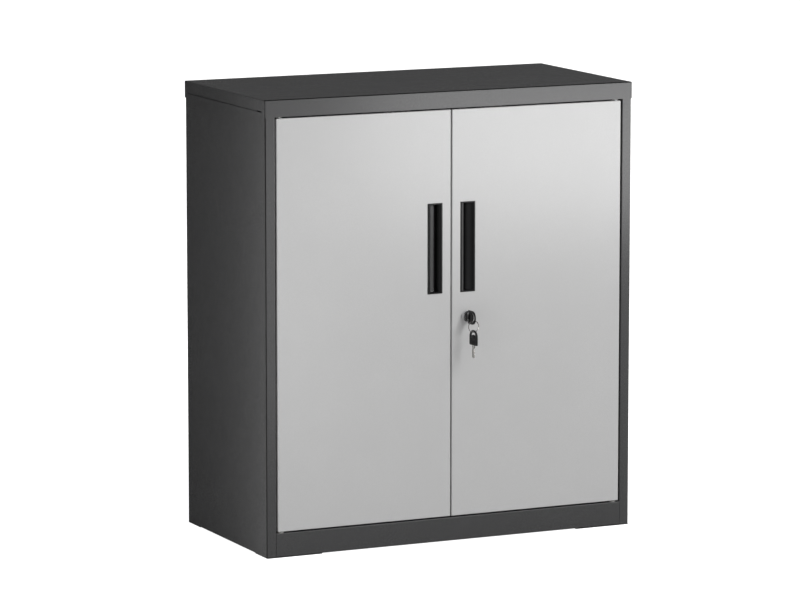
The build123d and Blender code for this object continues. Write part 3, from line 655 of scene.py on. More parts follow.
def cup_point(i, depth, fall):
    """Where a point of the section lies once the cup is only partly as deep."""
    x, d = CUP_SECTION[i]
    first, last = CUP_MOUTH_START, CUP_RAMP_END
    if first <= i <= last:
        share = (i - first) / (last - first)
        start, end = CUP_SECTION[first], CUP_SECTION[last]
        flat_x = start[0] + (end[0] - start[0]) * share
        flat_d = start[1] + (end[1] - start[1]) * share
        x = flat_x + (x - flat_x) * depth
        d = flat_d + (d - flat_d) * depth
    return x, max(d, fall)


print(len(cup_rows(2 * (RIM_FLAT + END_LENGTH))), "rows up a cup")

# %% Handle cups
BODY_INSET = 1.6
# How far in from the rim the outside of the cup runs, and how deep that is.
BODY_LEVELS = (
    (BODY_INSET, 1.2), (BODY_INSET, 15.4), (BODY_INSET + 0.25, 15.95),
    (BODY_INSET + 0.8, 16.2),
)
BARBS = (-60.0, 0.0, 60.0)
BARB_HALF = 4.0
# A barb's root behind the skin, its tip and its far end: outwards, then into the door.
BARB_SECTION = ((-0.3, 2.15), (0.9, 2.15), (-0.3, 5.2))


def wrap(shape, near, far):
    """Faces all the way round between two rings of as many points."""
    for i in range(len(near)):
        j = (i + 1) % len(near)
        shape.faces.new((near[i], near[j], far[j], far[i]))


def add_barb(shape, place, x, outwards, z):
    """A wedge behind the skin that keeps the cup from pulling out."""
    near, far = (
        [shape.verts.new(place(x + outwards * out, d, level)) for out, d in BARB_SECTION]
        for level in (z - BARB_HALF, z + BARB_HALF)
    )
    shape.faces.new(near)
    shape.faces.new(reversed(far))
    wrap(shape, near, far)


def handle_cup(name, node, side):
    """A cup for the right door (side 1) or, mirrored, for the left one (side -1)."""
    low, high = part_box(node)
    free_edge = low.x if side > 0 else high.x
    height = (high.z - low.z) / MM
    width = (high.x - low.x) / MM

    def place(x, depth, z):
        return (free_edge + side * x * MM, low.y + depth * MM, low.z + z * MM)

    shape = bmesh.new()
    across = range(len(CUP_SECTION))
    grid = [
        [shape.verts.new(place(*cup_point(i, depth, fall), z)) for i in across]
        for z, depth, fall in cup_rows(height)
    ]
    for near, far in zip(grid, grid[1:]):
        for i in range(len(near) - 1):
            shape.faces.new((near[i], near[i + 1], far[i + 1], far[i]))
    rim = (
        grid[0][:-1]
        + [row[-1] for row in grid[:-1]]
        + grid[-1][:0:-1]
        + [row[0] for row in grid[:0:-1]]
    )
    previous = rim
    for inset, depth in BODY_LEVELS:
        ring = []
        for vert in rim:
            x = abs(vert.co.x - free_edge) / MM
            z = (vert.co.z - low.z) / MM
            x = min(max(x, inset), width - inset)
            z = min(max(z, inset), height - inset)
            ring.append(shape.verts.new(place(x, depth, z)))
        wrap(shape, previous, ring)
        previous = ring
    shape.faces.new(previous)
    for z in BARBS:
        add_barb(shape, place, BODY_INSET, -1, height / 2 + z)
        add_barb(shape, place, width - BODY_INSET, 1, height / 2 + z)
    return linked(name, mesh_of(name, shape))


for door, side in (("left", -1), ("right", 1)):
    cup = handle_cup(f"{door}_handle", f"{door}_handle_cup", side)
    settle(cup, black_plastic, f"{door}_door", [f"{door}_handle_cup"])

# %% [markdown]
# ## Turned parts
# A lock is made on a lathe, and a lathe is easy to copy: draw half of the section and spin
# it about the axis. The barrel behind the skin is threaded, with rings instead of a spiral:
# at one millimetre of pitch nobody can tell, and rings spin from the same section.

# %% Lathe
ON_AXIS = 0.0001
AXIS_REACH = 0.001
AXIS = {"y": Vector((0, 1, 0)), "z": Vector((0, 0, 1))}
PITCH = 1.0
# One ridge of the thread: whether a point is sunk, and how far along the pitch it lies.
RIDGE = ((1, 0.0), (1, 0.15), (0, 0.5), (0, 0.65))


def turned(name, profile, centre, axis="y", steps=72):
    """Spins a section of (radius, place) points, which is closed or ends on the axis."""
    along = AXIS[axis]
    across = Vector((1, 0, 0))
    shape = bmesh.new()
    rings = []
    for i in range(steps):
        turn = Matrix.Rotation(math.tau * i / steps, 3, along)
        spots = [turn @ (across * radius + along * place) for radius, place in profile]
        rings.append([shape.verts.new(Vector(centre) + spot * MM) for spot in spots])
    first = -1 if profile[0][0] > AXIS_REACH else 0  # -1 joins the last point to the first
    for near, far in zip(rings, rings[1:] + rings[:1]):
        for i in range(first, len(profile) - 1):
            shape.faces.new((near[i], near[i + 1], far[i + 1], far[i]))
    return linked(name, mesh_of(name, shape))


def thread(radius, depth, start, end):
    """Points of a threaded length, from start to end."""
    return [
        (radius - depth * sunk, start + (i + share) * PITCH)
        for i in range(int((end - start) / PITCH))
        for sunk, share in RIDGE
    ]


print("lathe ready, thread of", PITCH, "mm")

# %% Lock body
COLLAR_DEEP = 8.0
BARREL_AIR = 0.15
BORE = 7.2
lock_low, lock_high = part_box("lock_barrel")
LOCK_AXIS = Vector(((lock_low.x + lock_high.x) / 2, 0, (lock_low.z + lock_high.z) / 2))
LOCK_X = LOCK_AXIS.x / MM
LOCK_Z = LOCK_AXIS.z / MM
COLLAR_FACE = lock_low.y / MM
SKIN = COLLAR_FACE + COLLAR_DEEP
BARREL_END = lock_high.y / MM - BARREL_AIR
BARREL_SECTION = [
    (BORE, COLLAR_FACE + 0.7), (BORE + 0.5, COLLAR_FACE + 0.1), (BORE + 0.8, COLLAR_FACE),
    (9.2, COLLAR_FACE), (9.8, COLLAR_FACE + 0.12), (10.4, COLLAR_FACE + 0.5),
    (10.8, COLLAR_FACE + 1.1), (11.0, COLLAR_FACE + 1.9), (11.0, SKIN - 0.9),
    (10.8, SKIN - 0.5), (10.8, SKIN), (9.4, SKIN), (9.4, SKIN + 1.0),
    *thread(9.5, 0.4, SKIN + 1.2, BARREL_END - 0.8),
    (9.1, BARREL_END - 0.5), (8.7, BARREL_END), (BORE, BARREL_END),
]
barrel = turned("lock_body", BARREL_SECTION, LOCK_AXIS)
settle(barrel, chrome_plate, "right_door", ["lock_barrel"])

# %% [markdown]
# ## Cut plates, and the lock's core
# What isn't turned is mostly cut: an outline drawn flat and given a thickness. One function
# does that along any axis, and its result is closed, so it also serves as a cutter. The
# core of the lock is turned like its body, and then such a cutter sinks the keyway in it,
# with the two ledges that guide the blade.

# %% Cut plates
PAST = 1.0  # how far a cutter reaches past the face that it opens


def prism(name, outline, low, high, axis):
    """A flat outline given thickness along one axis; the other two are the outline's."""
    shape = bmesh.new()
    order = {"x": (1, 2, 0), "y": (0, 2, 1), "z": (0, 1, 2)}[axis]

    def corner(point, level):
        place = [0.0, 0.0, 0.0]
        for value, slot in zip((*point, level), order):
            place[slot] = value * MM
        return shape.verts.new(place)

    near = [corner(p, low) for p in outline]
    far = [corner(p, high) for p in outline]
    shape.faces.new(near)
    shape.faces.new(far)
    wrap(shape, near, far)
    return linked(name, mesh_of(name, shape))


def arc(centre, radius, start, end, steps):
    """Points round part of a circle, angles in degrees."""
    angles = [math.radians(start + (end - start) * i / steps) for i in range(steps + 1)]
    x, z = centre
    return [(x + radius * math.cos(a), z + radius * math.sin(a)) for a in angles]


def oblong(x, z):
    """The four corners between two limits each way."""
    return [(x[0], z[0]), (x[1], z[0]), (x[1], z[1]), (x[0], z[1])]


print("plates can be cut along", ", ".join("xyz"))

# %% Lock core
KEYWAY = [
    (-1.3, -4.4), (1.3, -4.4), (1.3, -1.0), (0.75, -0.7), (0.75, 0.9), (1.3, 1.2),
    (1.3, 4.4), (-1.3, 4.4), (-1.3, 2.6), (-0.75, 2.3), (-0.75, 1.5), (-1.3, 1.2),
]
KEYWAY_DEEP = 24.1
plug_low, plug_high = (end.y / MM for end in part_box("lock_plug"))
PLUG_SECTION = [
    (ON_AXIS, plug_low + 0.25), (4.6, plug_low + 0.25), (5.0, plug_low), (6.5, plug_low),
    (7.0, plug_low + 0.5), (7.0, plug_high - 0.6), (6.4, plug_high), (ON_AXIS, plug_high),
]
plug = turned("lock_core_face", PLUG_SECTION, LOCK_AXIS)
keyway = [(LOCK_X + x, LOCK_Z + z) for x, z in KEYWAY]
cut_with(plug, prism("keyway", keyway, plug_low - PAST, plug_low + KEYWAY_DEEP, "y"))
settle(plug, chrome_plate, "lock_core", ["lock_plug"])

# %% [markdown]
# ## The keys
# Both keys are alike: a flat steel blade, milled along its sides and cut along one edge, and
# a black moulded head with a crescent-shaped eye. They differ only in how they sit, one in
# the lock and one hanging from the ring. So a key is drawn once, as distances along it from
# the head's shoulder and across it, and a small function lays it out for each of the two.

# %% Where the two keys lie
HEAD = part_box("key_bow")
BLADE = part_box("key_blade")
SPARE_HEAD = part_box("spare_key_bow")
SHOULDER_Y = HEAD[1].y / MM
HEAD_LENGTH = (HEAD[1].y - HEAD[0].y) / MM
HEAD_HALF = (HEAD[1].z - HEAD[0].z) / MM / 2
SPARE_TOP = SPARE_HEAD[1].z / MM
SPARE_Y = (SPARE_HEAD[0].y + SPARE_HEAD[1].y) / MM / 2


def in_lock(along, across):
    """A point of the key in the lock, as its place along Y and Z."""
    return SHOULDER_Y + along, LOCK_Z + across


def hanging(along, across):
    """The same point of the spare key, which hangs blade down."""
    return SPARE_Y + across, SPARE_TOP - HEAD_LENGTH - along


print(f"a head is {HEAD_LENGTH:.1f} x {2 * HEAD_HALF:.1f} mm")

# %% Outline of a head
SHOULDER_ROUND = 2.2
EYE_CENTRE = HEAD_HALF - HEAD_LENGTH
EYE_REACH = (10.4, 8.4)
EYE_END = (EYE_CENTRE + 0.9, 8.5)
DOME_CENTRE = EYE_CENTRE + 3.1
DOME_REACH = (7.2, 6.9)


def head_outline():
    """Square shoulders at the blade, and an arch round the eye."""
    r = SHOULDER_ROUND
    points = arc((-r, HEAD_HALF - r), r, 0, 90, 6)
    points += arc((EYE_CENTRE, 0), HEAD_HALF, 90, 270, 48)
    points += arc((-r, r - HEAD_HALF), r, -90, 0, 6)
    return points


def oval(centre, reach, start, end, steps):
    """Points along part of an oval that bulges away from the blade."""
    turn = arc((0, 0), 1, start, end, steps)
    return [(centre - reach[0] * x, reach[1] * z) for x, z in turn]


def eye_outline():
    """The crescent that the ring goes through, with a domed inner edge."""
    outer = oval(EYE_CENTRE, EYE_REACH, -80, 80, 28)
    inner = oval(DOME_CENTRE, DOME_REACH, 80, -80, 24)
    return outer + [EYE_END] + inner + [(EYE_END[0], -EYE_END[1])]


print(len(head_outline()), "points round a head,", len(eye_outline()), "round its eye")

# %% Outline of a blade
BLADE_TIP = BLADE[1].y / MM - SHOULDER_Y
BLADE_ROOT = BLADE[0].y / MM - SHOULDER_Y
BLADE_HALF = (BLADE[1].z - BLADE[0].z) / MM / 2
CUT_DEPTHS = (1.2, 2.0, 0.8, 1.6, 1.1)
CUT_PITCH = 3.9
CUT_FLAT = 0.5
CUT_SLOPE = 0.55


def blade_outline():
    """The blade from its root in the head to its tip, with cuts along its lower edge."""
    low = [(BLADE_ROOT, -BLADE_HALF)]
    for i, depth in reversed(list(enumerate(CUT_DEPTHS))):
        middle = BLADE_TIP - CUT_PITCH * (i + 1)
        slope = CUT_FLAT + depth * CUT_SLOPE
        low += [
            (middle - slope, -BLADE_HALF),
            (middle - CUT_FLAT, depth - BLADE_HALF),
            (middle + CUT_FLAT, depth - BLADE_HALF),
            (middle + slope, -BLADE_HALF),
        ]
    tip = [(BLADE_TIP - 1.6, -BLADE_HALF), (BLADE_TIP - 0.3, -1.4), (BLADE_TIP, -0.6)]
    tip += [(x, -z) for x, z in reversed(tip)]
    return low + tip + [(BLADE_ROOT, BLADE_HALF)]


print(len(blade_outline()), "points round a blade")

# %% [markdown]
# The heads and blades are cut from those outlines, and small closed cutters take the eye,
# the grip grooves and the milled grooves out of them. The spare key hangs a little askew,
# as a key on a ring does, so it is turned about the upright line that it hangs on, and
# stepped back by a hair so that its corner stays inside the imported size.

# %% Cut the keys
GRIP_GROOVES = (-7.2, -2.4, 2.4, 7.2)
GRIP_SPAN = (-11.5, -3.2)
GROOVE_HALF = 1.3
GROOVE_DEPTH = 0.4
HEAD_EASE = 0.45
MILL_START = 0.6
MILL_DEPTH = 0.35
MILLED_RIGHT = (-1.4, 1.6)
MILLED_LEFT = (0.9, 2.9)
BLADE_EASE = 0.12
SPARE_TWIST = math.radians(7)
TWIST_STEP = 0.05 * MM


def laid(way, points):
    """An outline laid out in the frame."""
    return [way(*point) for point in points]


def key_head(name, way, node):
    """A moulded head with its eye and the grip grooves on both faces."""
    low, high = (end.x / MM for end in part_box(node))
    head = prism(name, laid(way, head_outline()), low, high, "x")
    cut_with(head, prism("eye", laid(way, eye_outline()), low - PAST, high + PAST, "x"))
    eased(head, HEAD_EASE)
    for middle in GRIP_GROOVES:
        strip = laid(way, oblong(GRIP_SPAN, (middle - GROOVE_HALF, middle + GROOVE_HALF)))
        for a, b in ((low - PAST, low + GROOVE_DEPTH), (high - GROOVE_DEPTH, high + PAST)):
            cut_with(head, prism("groove", strip, a, b, "x"))
    return head


def key_blade(name, way, node):
    """A blade with a milled groove along either side."""
    low, high = (end.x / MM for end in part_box(node))
    blade = prism(name, laid(way, blade_outline()), low, high, "x")
    length = (MILL_START, BLADE_TIP + PAST)
    for milled, a, b in (
        (MILLED_RIGHT, high - MILL_DEPTH, high + PAST),
        (MILLED_LEFT, low - PAST, low + MILL_DEPTH),
    ):
        cut_with(blade, prism("mill", laid(way, oblong(length, milled)), a, b, "x"))
    return eased(blade, BLADE_EASE, segments=1)


def twisted(piece):
    """Turns a piece of the spare key a little about the upright line that it hangs on."""
    hook = Vector((LOCK_X, SPARE_Y, 0)) * MM
    there = Matrix.Translation(hook + Vector((0, TWIST_STEP, 0)))
    turn = Matrix.Rotation(SPARE_TWIST, 4, "Z")
    piece.data.transform(there @ turn @ Matrix.Translation(-hook))


for prefix, way, body in (("", in_lock, "key"), ("spare_", hanging, "spare_key")):
    head = key_head(f"{prefix}key_head", way, f"{prefix}key_bow")
    blade = key_blade(f"{prefix}key_shank", way, f"{prefix}key_blade")
    if body == "spare_key":
        twisted(head)
        twisted(blade)
    settle(head, black_plastic, body, [f"{prefix}key_bow"])
    settle(blade, nickel_plate, body, [f"{prefix}key_blade"])

# %% [markdown]
# ## Recipes with Geometry Nodes
# Where a shape follows a rule, the rule is better kept than its result: a row of rivets is a
# count and a step, and a split ring is a path and a wire. A Geometry Nodes tree holds such a
# rule and shows its sizes as named inputs. The tree is built here in the same style as the
# shaders, used once, and replaced by the mesh it made.

# %% Node recipes
SOCKETS = {
    int: "NodeSocketInt",
    float: "NodeSocketFloat",
    tuple: "NodeSocketVector",
    bpy.types.Object: "NodeSocketObject",
}


class Recipe(Graph):
    """A Geometry Nodes tree with named inputs, used once and baked to a mesh."""

    def __init__(self, name, **sizes):
        super().__init__(bpy.data.node_groups.new(name, "GeometryNodeTree"))
        self.sizes = sizes
        ports = self.tree.interface
        ports.new_socket("Geometry", in_out="OUTPUT", socket_type="NodeSocketGeometry")
        for label, value in sizes.items():
            ports.new_socket(label, in_out="INPUT", socket_type=SOCKETS[type(value)])
        self.given = self.node("NodeGroupInput").outputs

    def size(self, label):
        """One of the named inputs, ready for sums."""
        return Signal(self, self.given[label])

    def served(self, name, geometry, material):
        """Realizes the result, runs the tree on an empty object and keeps the mesh."""
        whole = self.node("GeometryNodeRealizeInstances", {0: geometry})
        coated = self.node("GeometryNodeSetMaterial", {0: whole, "Material": material})
        self.node("NodeGroupOutput", {0: coated})
        piece = linked(name, bpy.data.meshes.new(name))
        recipe = piece.modifiers.new("recipe", "NODES")
        recipe.node_group = self.tree
        for item in self.tree.interface.items_tree:
            if item.in_out == "INPUT":
                recipe[item.identifier] = self.sizes[item.name]
        return baked(piece)


print("a recipe takes", len(SOCKETS), "kinds of input")

# %% [markdown]
# ## The split ring
# A key ring is one flat wire, wound almost twice. The path is a circle, and a smooth step in
# the middle of the walk moves the second round beside the first. The wire is a rounded
# rectangle carried along it.

# %% Split ring
WIRE_HIGH = 1.3 * MM
WIRE_ROUND = 0.2 * MM
COIL_GAP = 0.03 * MM
RING_TURNS = 1.9
RING_STEPS = 64
STEP_START, STEP_END = 0.47, 0.53
RING_TILT = (math.radians(90), math.radians(40), 0)


def split_ring(name, node):
    """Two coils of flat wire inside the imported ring's box, lying across Y."""
    low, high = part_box(node)
    coil = (high.y - low.y) / 2
    recipe = Recipe(
        "split_ring",
        Radius=(high.z - low.z) / 2 - WIRE_HIGH / 2,
        Turns=RING_TURNS,
        Wire_Width=coil - COIL_GAP,
        Wire_Height=WIRE_HIGH,
        Step=coil,
        Centre=tuple((low + high) / 2),
    )
    radius, turns = recipe.size("Radius"), recipe.size("Turns")
    walk = {"Start Radius": radius, "End Radius": radius, "Rotations": turns, "Height": 0.0}
    path = recipe.node("GeometryNodeCurveSpiral", {"Resolution": RING_STEPS, **walk})
    share = recipe.node("GeometryNodeSplineParameter").outputs["Factor"]
    ends = {"From Min": STEP_START, "From Max": STEP_END, "To Min": -0.5, "To Max": 0.5}
    across = recipe.signal(
        "ShaderNodeMapRange", {"Value": share, **ends}, interpolation_type="SMOOTHSTEP"
    )
    sideways = recipe.node("ShaderNodeCombineXYZ", {"Z": across * recipe.size("Step")})
    stepped = recipe.node("GeometryNodeSetPosition", {0: path, "Offset": sideways})
    wire = recipe.node(
        "GeometryNodeCurvePrimitiveQuadrilateral",
        {"Width": recipe.size("Wire_Height"), "Height": recipe.size("Wire_Width")},
    )
    rounded = recipe.node("GeometryNodeFilletCurve", {0: wire, "Radius": WIRE_ROUND})
    swept = recipe.node(
        "GeometryNodeCurveToMesh",
        {"Curve": stepped, "Profile Curve": rounded, "Fill Caps": True},
    )
    hung = recipe.node(
        "GeometryNodeTransform",
        {0: swept, "Translation": recipe.given["Centre"], "Rotation": RING_TILT},
    )
    return recipe.served(name, hung, nickel_plate)


settle(split_ring("split_ring", "key_ring"), nickel_plate, "ring", ["key_ring"])

# %% [markdown]
# ## Rivets and shelf clips
# The back is held by two columns of rivets and each shelf by four clips. One rivet is turned
# and one clip is cut, and the same recipe stands copies of them in rows and columns. The
# columns may be turned about an upright axis, so that a clip for the left wall also serves
# the right one.

# %% Rows and columns
def repeated(name, part, material, rows, row_step, column_step, centre, turn=0.0):
    """Copies of a part, in rows that are repeated in two columns, all about one centre."""
    recipe = Recipe(
        f"{name}_rows",
        Part=part,
        Rows=rows,
        Row_Step=row_step,
        Columns=2,
        Column_Step=column_step,
        Turn_Per_Column=turn,
        Centre=centre,
    )

    def line(count, step):
        """Points at an even step, as many before the centre as after it."""
        count, step = recipe.size(count), recipe.given[step]
        start = recipe.node(
            "ShaderNodeVectorMath", {0: step, "Scale": (1 - count) * 0.5}, operation="SCALE"
        )
        points = {"Count": count, "Start Location": start, "Offset": step}
        return recipe.node("GeometryNodeMeshLine", points, mode="OFFSET")

    shape = recipe.node("GeometryNodeObjectInfo", {"Object": recipe.given["Part"]})
    row = recipe.node(
        "GeometryNodeInstanceOnPoints",
        {"Points": line("Rows", "Row_Step"), "Instance": shape.outputs["Geometry"]},
    )
    column = recipe.signal("GeometryNodeInputIndex")
    facing = recipe.node(
        "ShaderNodeCombineXYZ", {"Z": column * recipe.size("Turn_Per_Column")}
    )
    grid = recipe.node(
        "GeometryNodeInstanceOnPoints",
        {"Points": line("Columns", "Column_Step"), "Instance": row, "Rotation": facing},
    )
    placed = recipe.node(
        "GeometryNodeTransform", {0: grid, "Translation": recipe.given["Centre"]}
    )
    made = recipe.served(name, placed, material)
    bpy.data.objects.remove(part)
    return made


# %% Back rivets
RIVET_ROWS = 5
RIVET_HEAD = 3.6
RIVET_PROUD = 0.9
RIVET_SECTION = [
    (ON_AXIS, 0.5), (0.95, 0.5), (1.1, 0.85), (1.5, 0.88), (2.3, 0.72), (3.0, 0.48),
    (3.4, 0.25), (RIVET_HEAD, 0.05), (RIVET_HEAD, 0.0), (2.0, 0.0), (2.0, -1.6),
    (3.2, -1.65), (3.5, -1.95), (3.2, -2.3), (2.2, -2.48), (ON_AXIS, -2.5),
]
rivet_low, rivet_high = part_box("back_rivets")
rivet_rise = (rivet_high.z - rivet_low.z - 2 * RIVET_HEAD * MM) / (RIVET_ROWS - 1)
rivet_span = rivet_high.x - rivet_low.x - 2 * RIVET_HEAD * MM
rivets = repeated(
    "back_rivet_rows",
    turned("rivet", RIVET_SECTION, (0, 0, 0), steps=32),
    carcass_paint,
    rows=RIVET_ROWS,
    row_step=(0.0, 0.0, rivet_rise),
    column_step=(rivet_span, 0.0, 0.0),
    centre=(0.0, rivet_high.y - RIVET_PROUD * MM, (rivet_low.z + rivet_high.z) / 2),
)
settle(rivets, carcass_paint, "carcass", ["back_rivets"])

# %% [markdown]
# A shelf clip is a strip of plated steel, bent over at the top to carry the shelf. A tongue
# behind it goes through a slot of the upright and hooks down inside. Drawn from the side the
# strip is one outline, so it is cut as a plate is, across the clip's width.

# %% Shelf clips
CLIP_WIDE = 9.0
CLIP_TOP = 8.0
CLIP_EASE = 0.15
CLIP_SIDE = [
    (0.0, -7.2), (0.5, -8.0), (1.0, -8.0), (1.5, -7.2), (1.5, 5.6), (1.8, 6.3), (2.5, 6.5),
    (11.6, 6.5), (12.0, 6.9), (12.0, 7.6), (11.6, CLIP_TOP), (2.2, CLIP_TOP), (0.9, 7.5),
    (0.2, 6.6), (0.0, 5.6),
]
TONGUE_SIDE = [
    (0.5, 2.9), (-1.8, 2.9), (-2.35, 2.4), (-2.35, -5.0), (-2.0, -5.7), (-1.45, -5.0),
    (-1.45, -4.2), (0.5, -4.2),
]
TONGUE_WIDE = 3.0
TONGUE_REACH = 2.4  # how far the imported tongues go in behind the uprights' faces


def shelf_clip():
    """A left-hand clip, with the middle of its slot at the origin."""
    strip = prism("strip", CLIP_SIDE, -CLIP_WIDE / 2, CLIP_WIDE / 2, "y")
    tongue = prism("tongue", TONGUE_SIDE, -TONGUE_WIDE / 2, TONGUE_WIDE / 2, "y")
    return eased(cut_with(strip, tongue, "UNION"), CLIP_EASE, segments=1)


for level in ("lower", "upper"):
    node = f"{level}_shelf_clips"
    low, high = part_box(node)
    clips = repeated(
        f"{level}_clip_rows",
        shelf_clip(),
        zinc_plate,
        rows=2,
        row_step=(0.0, (high.y - low.y) - CLIP_WIDE * MM, 0.0),
        column_step=((high.x - low.x) - 2 * TONGUE_REACH * MM, 0.0, 0.0),
        centre=(0.0, (low.y + high.y) / 2, high.z - CLIP_TOP * MM),
        turn=math.pi,
    )
    settle(clips, zinc_plate, "carcass", [node])

# %% [markdown]
# ## Magnetic catches
# A catch is a moulded case under the header with a magnet between two steel poles, and it
# pulls on a plate that is screwed to the door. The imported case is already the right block
# with its window, so here it gets soft moulded edges and its poles, and the plate on the
# door gets a countersunk screw at either end.

# %% Catch cases and poles
CASE_EASE = 0.7
WINDOW_HALF = 10.0
WINDOW_HIGH = 6.0
WINDOW_DEEP = 1.4
POLE_HALF = 9.4
POLE_LAP = 0.3
POLE_THICK = 1.3
POLE_SUNK = 0.05
POLE_ROOT = 0.5
POLE_EASE = 0.15


def block(name, x, y, z):
    """A straight block between limits in millimetres."""
    return prism(name, oblong(x, z), *y, "y")


def joined(name, parts):
    """Several objects of one finish as one piece."""
    shape = bmesh.new()
    for part in parts:
        shape.from_mesh(part.data)
        bpy.data.objects.remove(part)
    mesh = bpy.data.meshes.new(name)
    shape.to_mesh(mesh)
    shape.free()
    return linked(name, mesh)


def catch_case(side):
    """The moulded case and its two poles, on one side of the header."""
    node = f"{side}_magnetic_catch"
    low, high = box_mm(node)
    x, z = (low.x + high.x) / 2, (low.z + high.z) / 2
    case = block(f"{side}_catch_case", *zip(low, high))
    eased(case, CASE_EASE, segments=3)
    window = block(
        "window",
        (x - WINDOW_HALF, x + WINDOW_HALF),
        (low.y - PAST, low.y + WINDOW_DEEP),
        (z - WINDOW_HIGH / 2, z + WINDOW_HIGH / 2),
    )
    cut_with(case, window)
    poles = []
    for way in (-1, 1):
        edge = z + way * (WINDOW_HIGH / 2 - POLE_LAP)
        poles.append(
            block(
                "pole",
                (x - POLE_HALF, x + POLE_HALF),
                (low.y + POLE_SUNK, low.y + WINDOW_DEEP + POLE_ROOT),
                sorted((edge, edge - way * POLE_THICK)),
            )
        )
    poles = eased(joined(f"{side}_catch_poles", poles), POLE_EASE, segments=1)
    settle(case, white_nylon, "carcass", [node])
    settle(poles, zinc_plate, "carcass")


for side in ("left", "right"):
    catch_case(side)

# %% Strike plates
STRIKE_ROUND = 1.5
STRIKE_EASE = 0.2
SCREW_INSET = 5.5
SCREW_GROOVE = [(2.9, -0.25), (3.25, 0.1), (2.9, 0.1), (2.78, -0.22)]
CROSS_LONG = 1.5
CROSS_WIDE = 0.36
CROSS_DEEP = 0.7


def strike_plate(side):
    """The plate on a door, with two flush screws and their cross slots."""
    node = f"{side}_catch_strike"
    low, high = box_mm(node)
    r = STRIKE_ROUND
    outline = []
    for quarter, (x, z) in enumerate(
        ((high.x - r, high.z - r), (low.x + r, high.z - r),
         (low.x + r, low.z + r), (high.x - r, low.z + r))
    ):
        outline += arc((x, z), r, 90 * quarter, 90 * quarter + 90, 5)
    plate = prism(f"{side}_strike_plate", outline, low.y, high.y, "y")
    eased(plate, STRIKE_EASE, segments=1)
    z = (low.z + high.z) / 2
    for x in (low.x + SCREW_INSET, high.x - SCREW_INSET):
        centre = Vector((x, high.y, z)) * MM
        cut_with(plate, turned("groove", SCREW_GROOVE, centre, steps=28))
        for reach_x, reach_z in ((CROSS_LONG, CROSS_WIDE), (CROSS_WIDE, CROSS_LONG)):
            cross = block(
                "cross",
                (x - reach_x, x + reach_x),
                (high.y - CROSS_DEEP, high.y + PAST / 2),
                (z - reach_z, z + reach_z),
            )
            cut_with(plate, cross)
    settle(plate, zinc_plate, f"{side}_door", [node])


for side in ("left", "right"):
    strike_plate(side)

# %% [markdown]
# ## Nut, cam and screw
# Behind the skin the lock is held by a hexagon nut, and its core drives the rods through a
# cam. A pressed nut has its corners turned off at a slant, which is what is left where a
# hexagon and a flat cone overlap.

# %% Lock nut
NUT_BORE = 9.6
SLANT_IN = 1.4
SLANT_DOWN = 0.9
nut_low, nut_high = box_mm("lock_nut")
NUT_CORNER = (nut_high.x - nut_low.x) / 2
FLAT_EDGE = NUT_CORNER - SLANT_IN
CONE_EDGE = NUT_CORNER + 0.2
CONE_SECTION = [
    (NUT_BORE, nut_low.y), (FLAT_EDGE, nut_low.y), (CONE_EDGE, nut_low.y + SLANT_DOWN),
    (CONE_EDGE, nut_high.y - SLANT_DOWN), (FLAT_EDGE, nut_high.y), (NUT_BORE, nut_high.y),
]
hexagon = [(LOCK_X + x, LOCK_Z + z) for x, z in arc((0, 0), NUT_CORNER, 0, 300, 5)]
nut = prism("lock_ring_nut", hexagon, nut_low.y, nut_high.y, "y")
cut_with(nut, turned("cone", CONE_SECTION, LOCK_AXIS), "INTERSECT")
settle(nut, zinc_plate, "right_door", ["lock_nut"])

# %% [markdown]
# The cam, the rods, their guides and the foot plates are plain cut steel. Their packed
# shapes lack only the broken edges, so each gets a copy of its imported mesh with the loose
# triangles merged and the sharp edges eased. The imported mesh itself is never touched.

# %% Cam and screw
CAM_EASE = 0.25
FLAT_ENOUGH = math.radians(1)
SLOT_HALF = 0.45
SLOT_REACH = 4
SLOT_DEEP = 1.0


def eased_copy(name, node, width):
    """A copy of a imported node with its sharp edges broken."""
    shape = bmesh.new()
    shape.from_mesh(frame["nodes"][node].data)
    bmesh.ops.remove_doubles(shape, verts=shape.verts, dist=MERGE)
    bmesh.ops.dissolve_limit(
        shape, angle_limit=FLAT_ENOUGH, verts=shape.verts, edges=shape.edges
    )
    return eased(linked(name, mesh_of(name, shape)), width)


cam = eased_copy("lock_cam_plate", "lock_cam", CAM_EASE)
settle(cam, zinc_plate, "lock_core", ["lock_cam"])
screw_low, screw_high = box_mm("cam_screw")
HEAD_SEAT = screw_high.y - 1.8
SCREW_SECTION = [
    (ON_AXIS, screw_low.y), (1.3, screw_low.y), (1.6, screw_low.y + 0.4), (1.6, HEAD_SEAT),
    (3.5, HEAD_SEAT), (3.5, screw_high.y - 0.6), (3.3, screw_high.y - 0.25),
    (2.7, screw_high.y - 0.05), (1.6, screw_high.y), (ON_AXIS, screw_high.y),
]
screw = turned("cam_fixing", SCREW_SECTION, LOCK_AXIS, steps=40)
slot = block(
    "slot",
    (LOCK_X - SLOT_REACH, LOCK_X + SLOT_REACH),
    (screw_high.y - SLOT_DEEP, screw_high.y + PAST),
    (LOCK_Z - SLOT_HALF, LOCK_Z + SLOT_HALF),
)
cut_with(screw, slot)
settle(screw, zinc_plate, "lock_core", ["cam_screw"])

# %% Rods, guides and foot plates
ROD_EASE = 0.35
PLATE_EASE = 0.3

for level in ("upper", "lower"):
    rod = eased_copy(f"{level}_rod_bar", f"{level}_lock_rod", ROD_EASE)
    settle(rod, zinc_plate, f"{level}_rod", [f"{level}_lock_rod"])
    guide = eased_copy(f"{level}_guide_strap", f"{level}_rod_guide", PLATE_EASE)
    settle(guide, zinc_plate, "right_door", [f"{level}_rod_guide"])

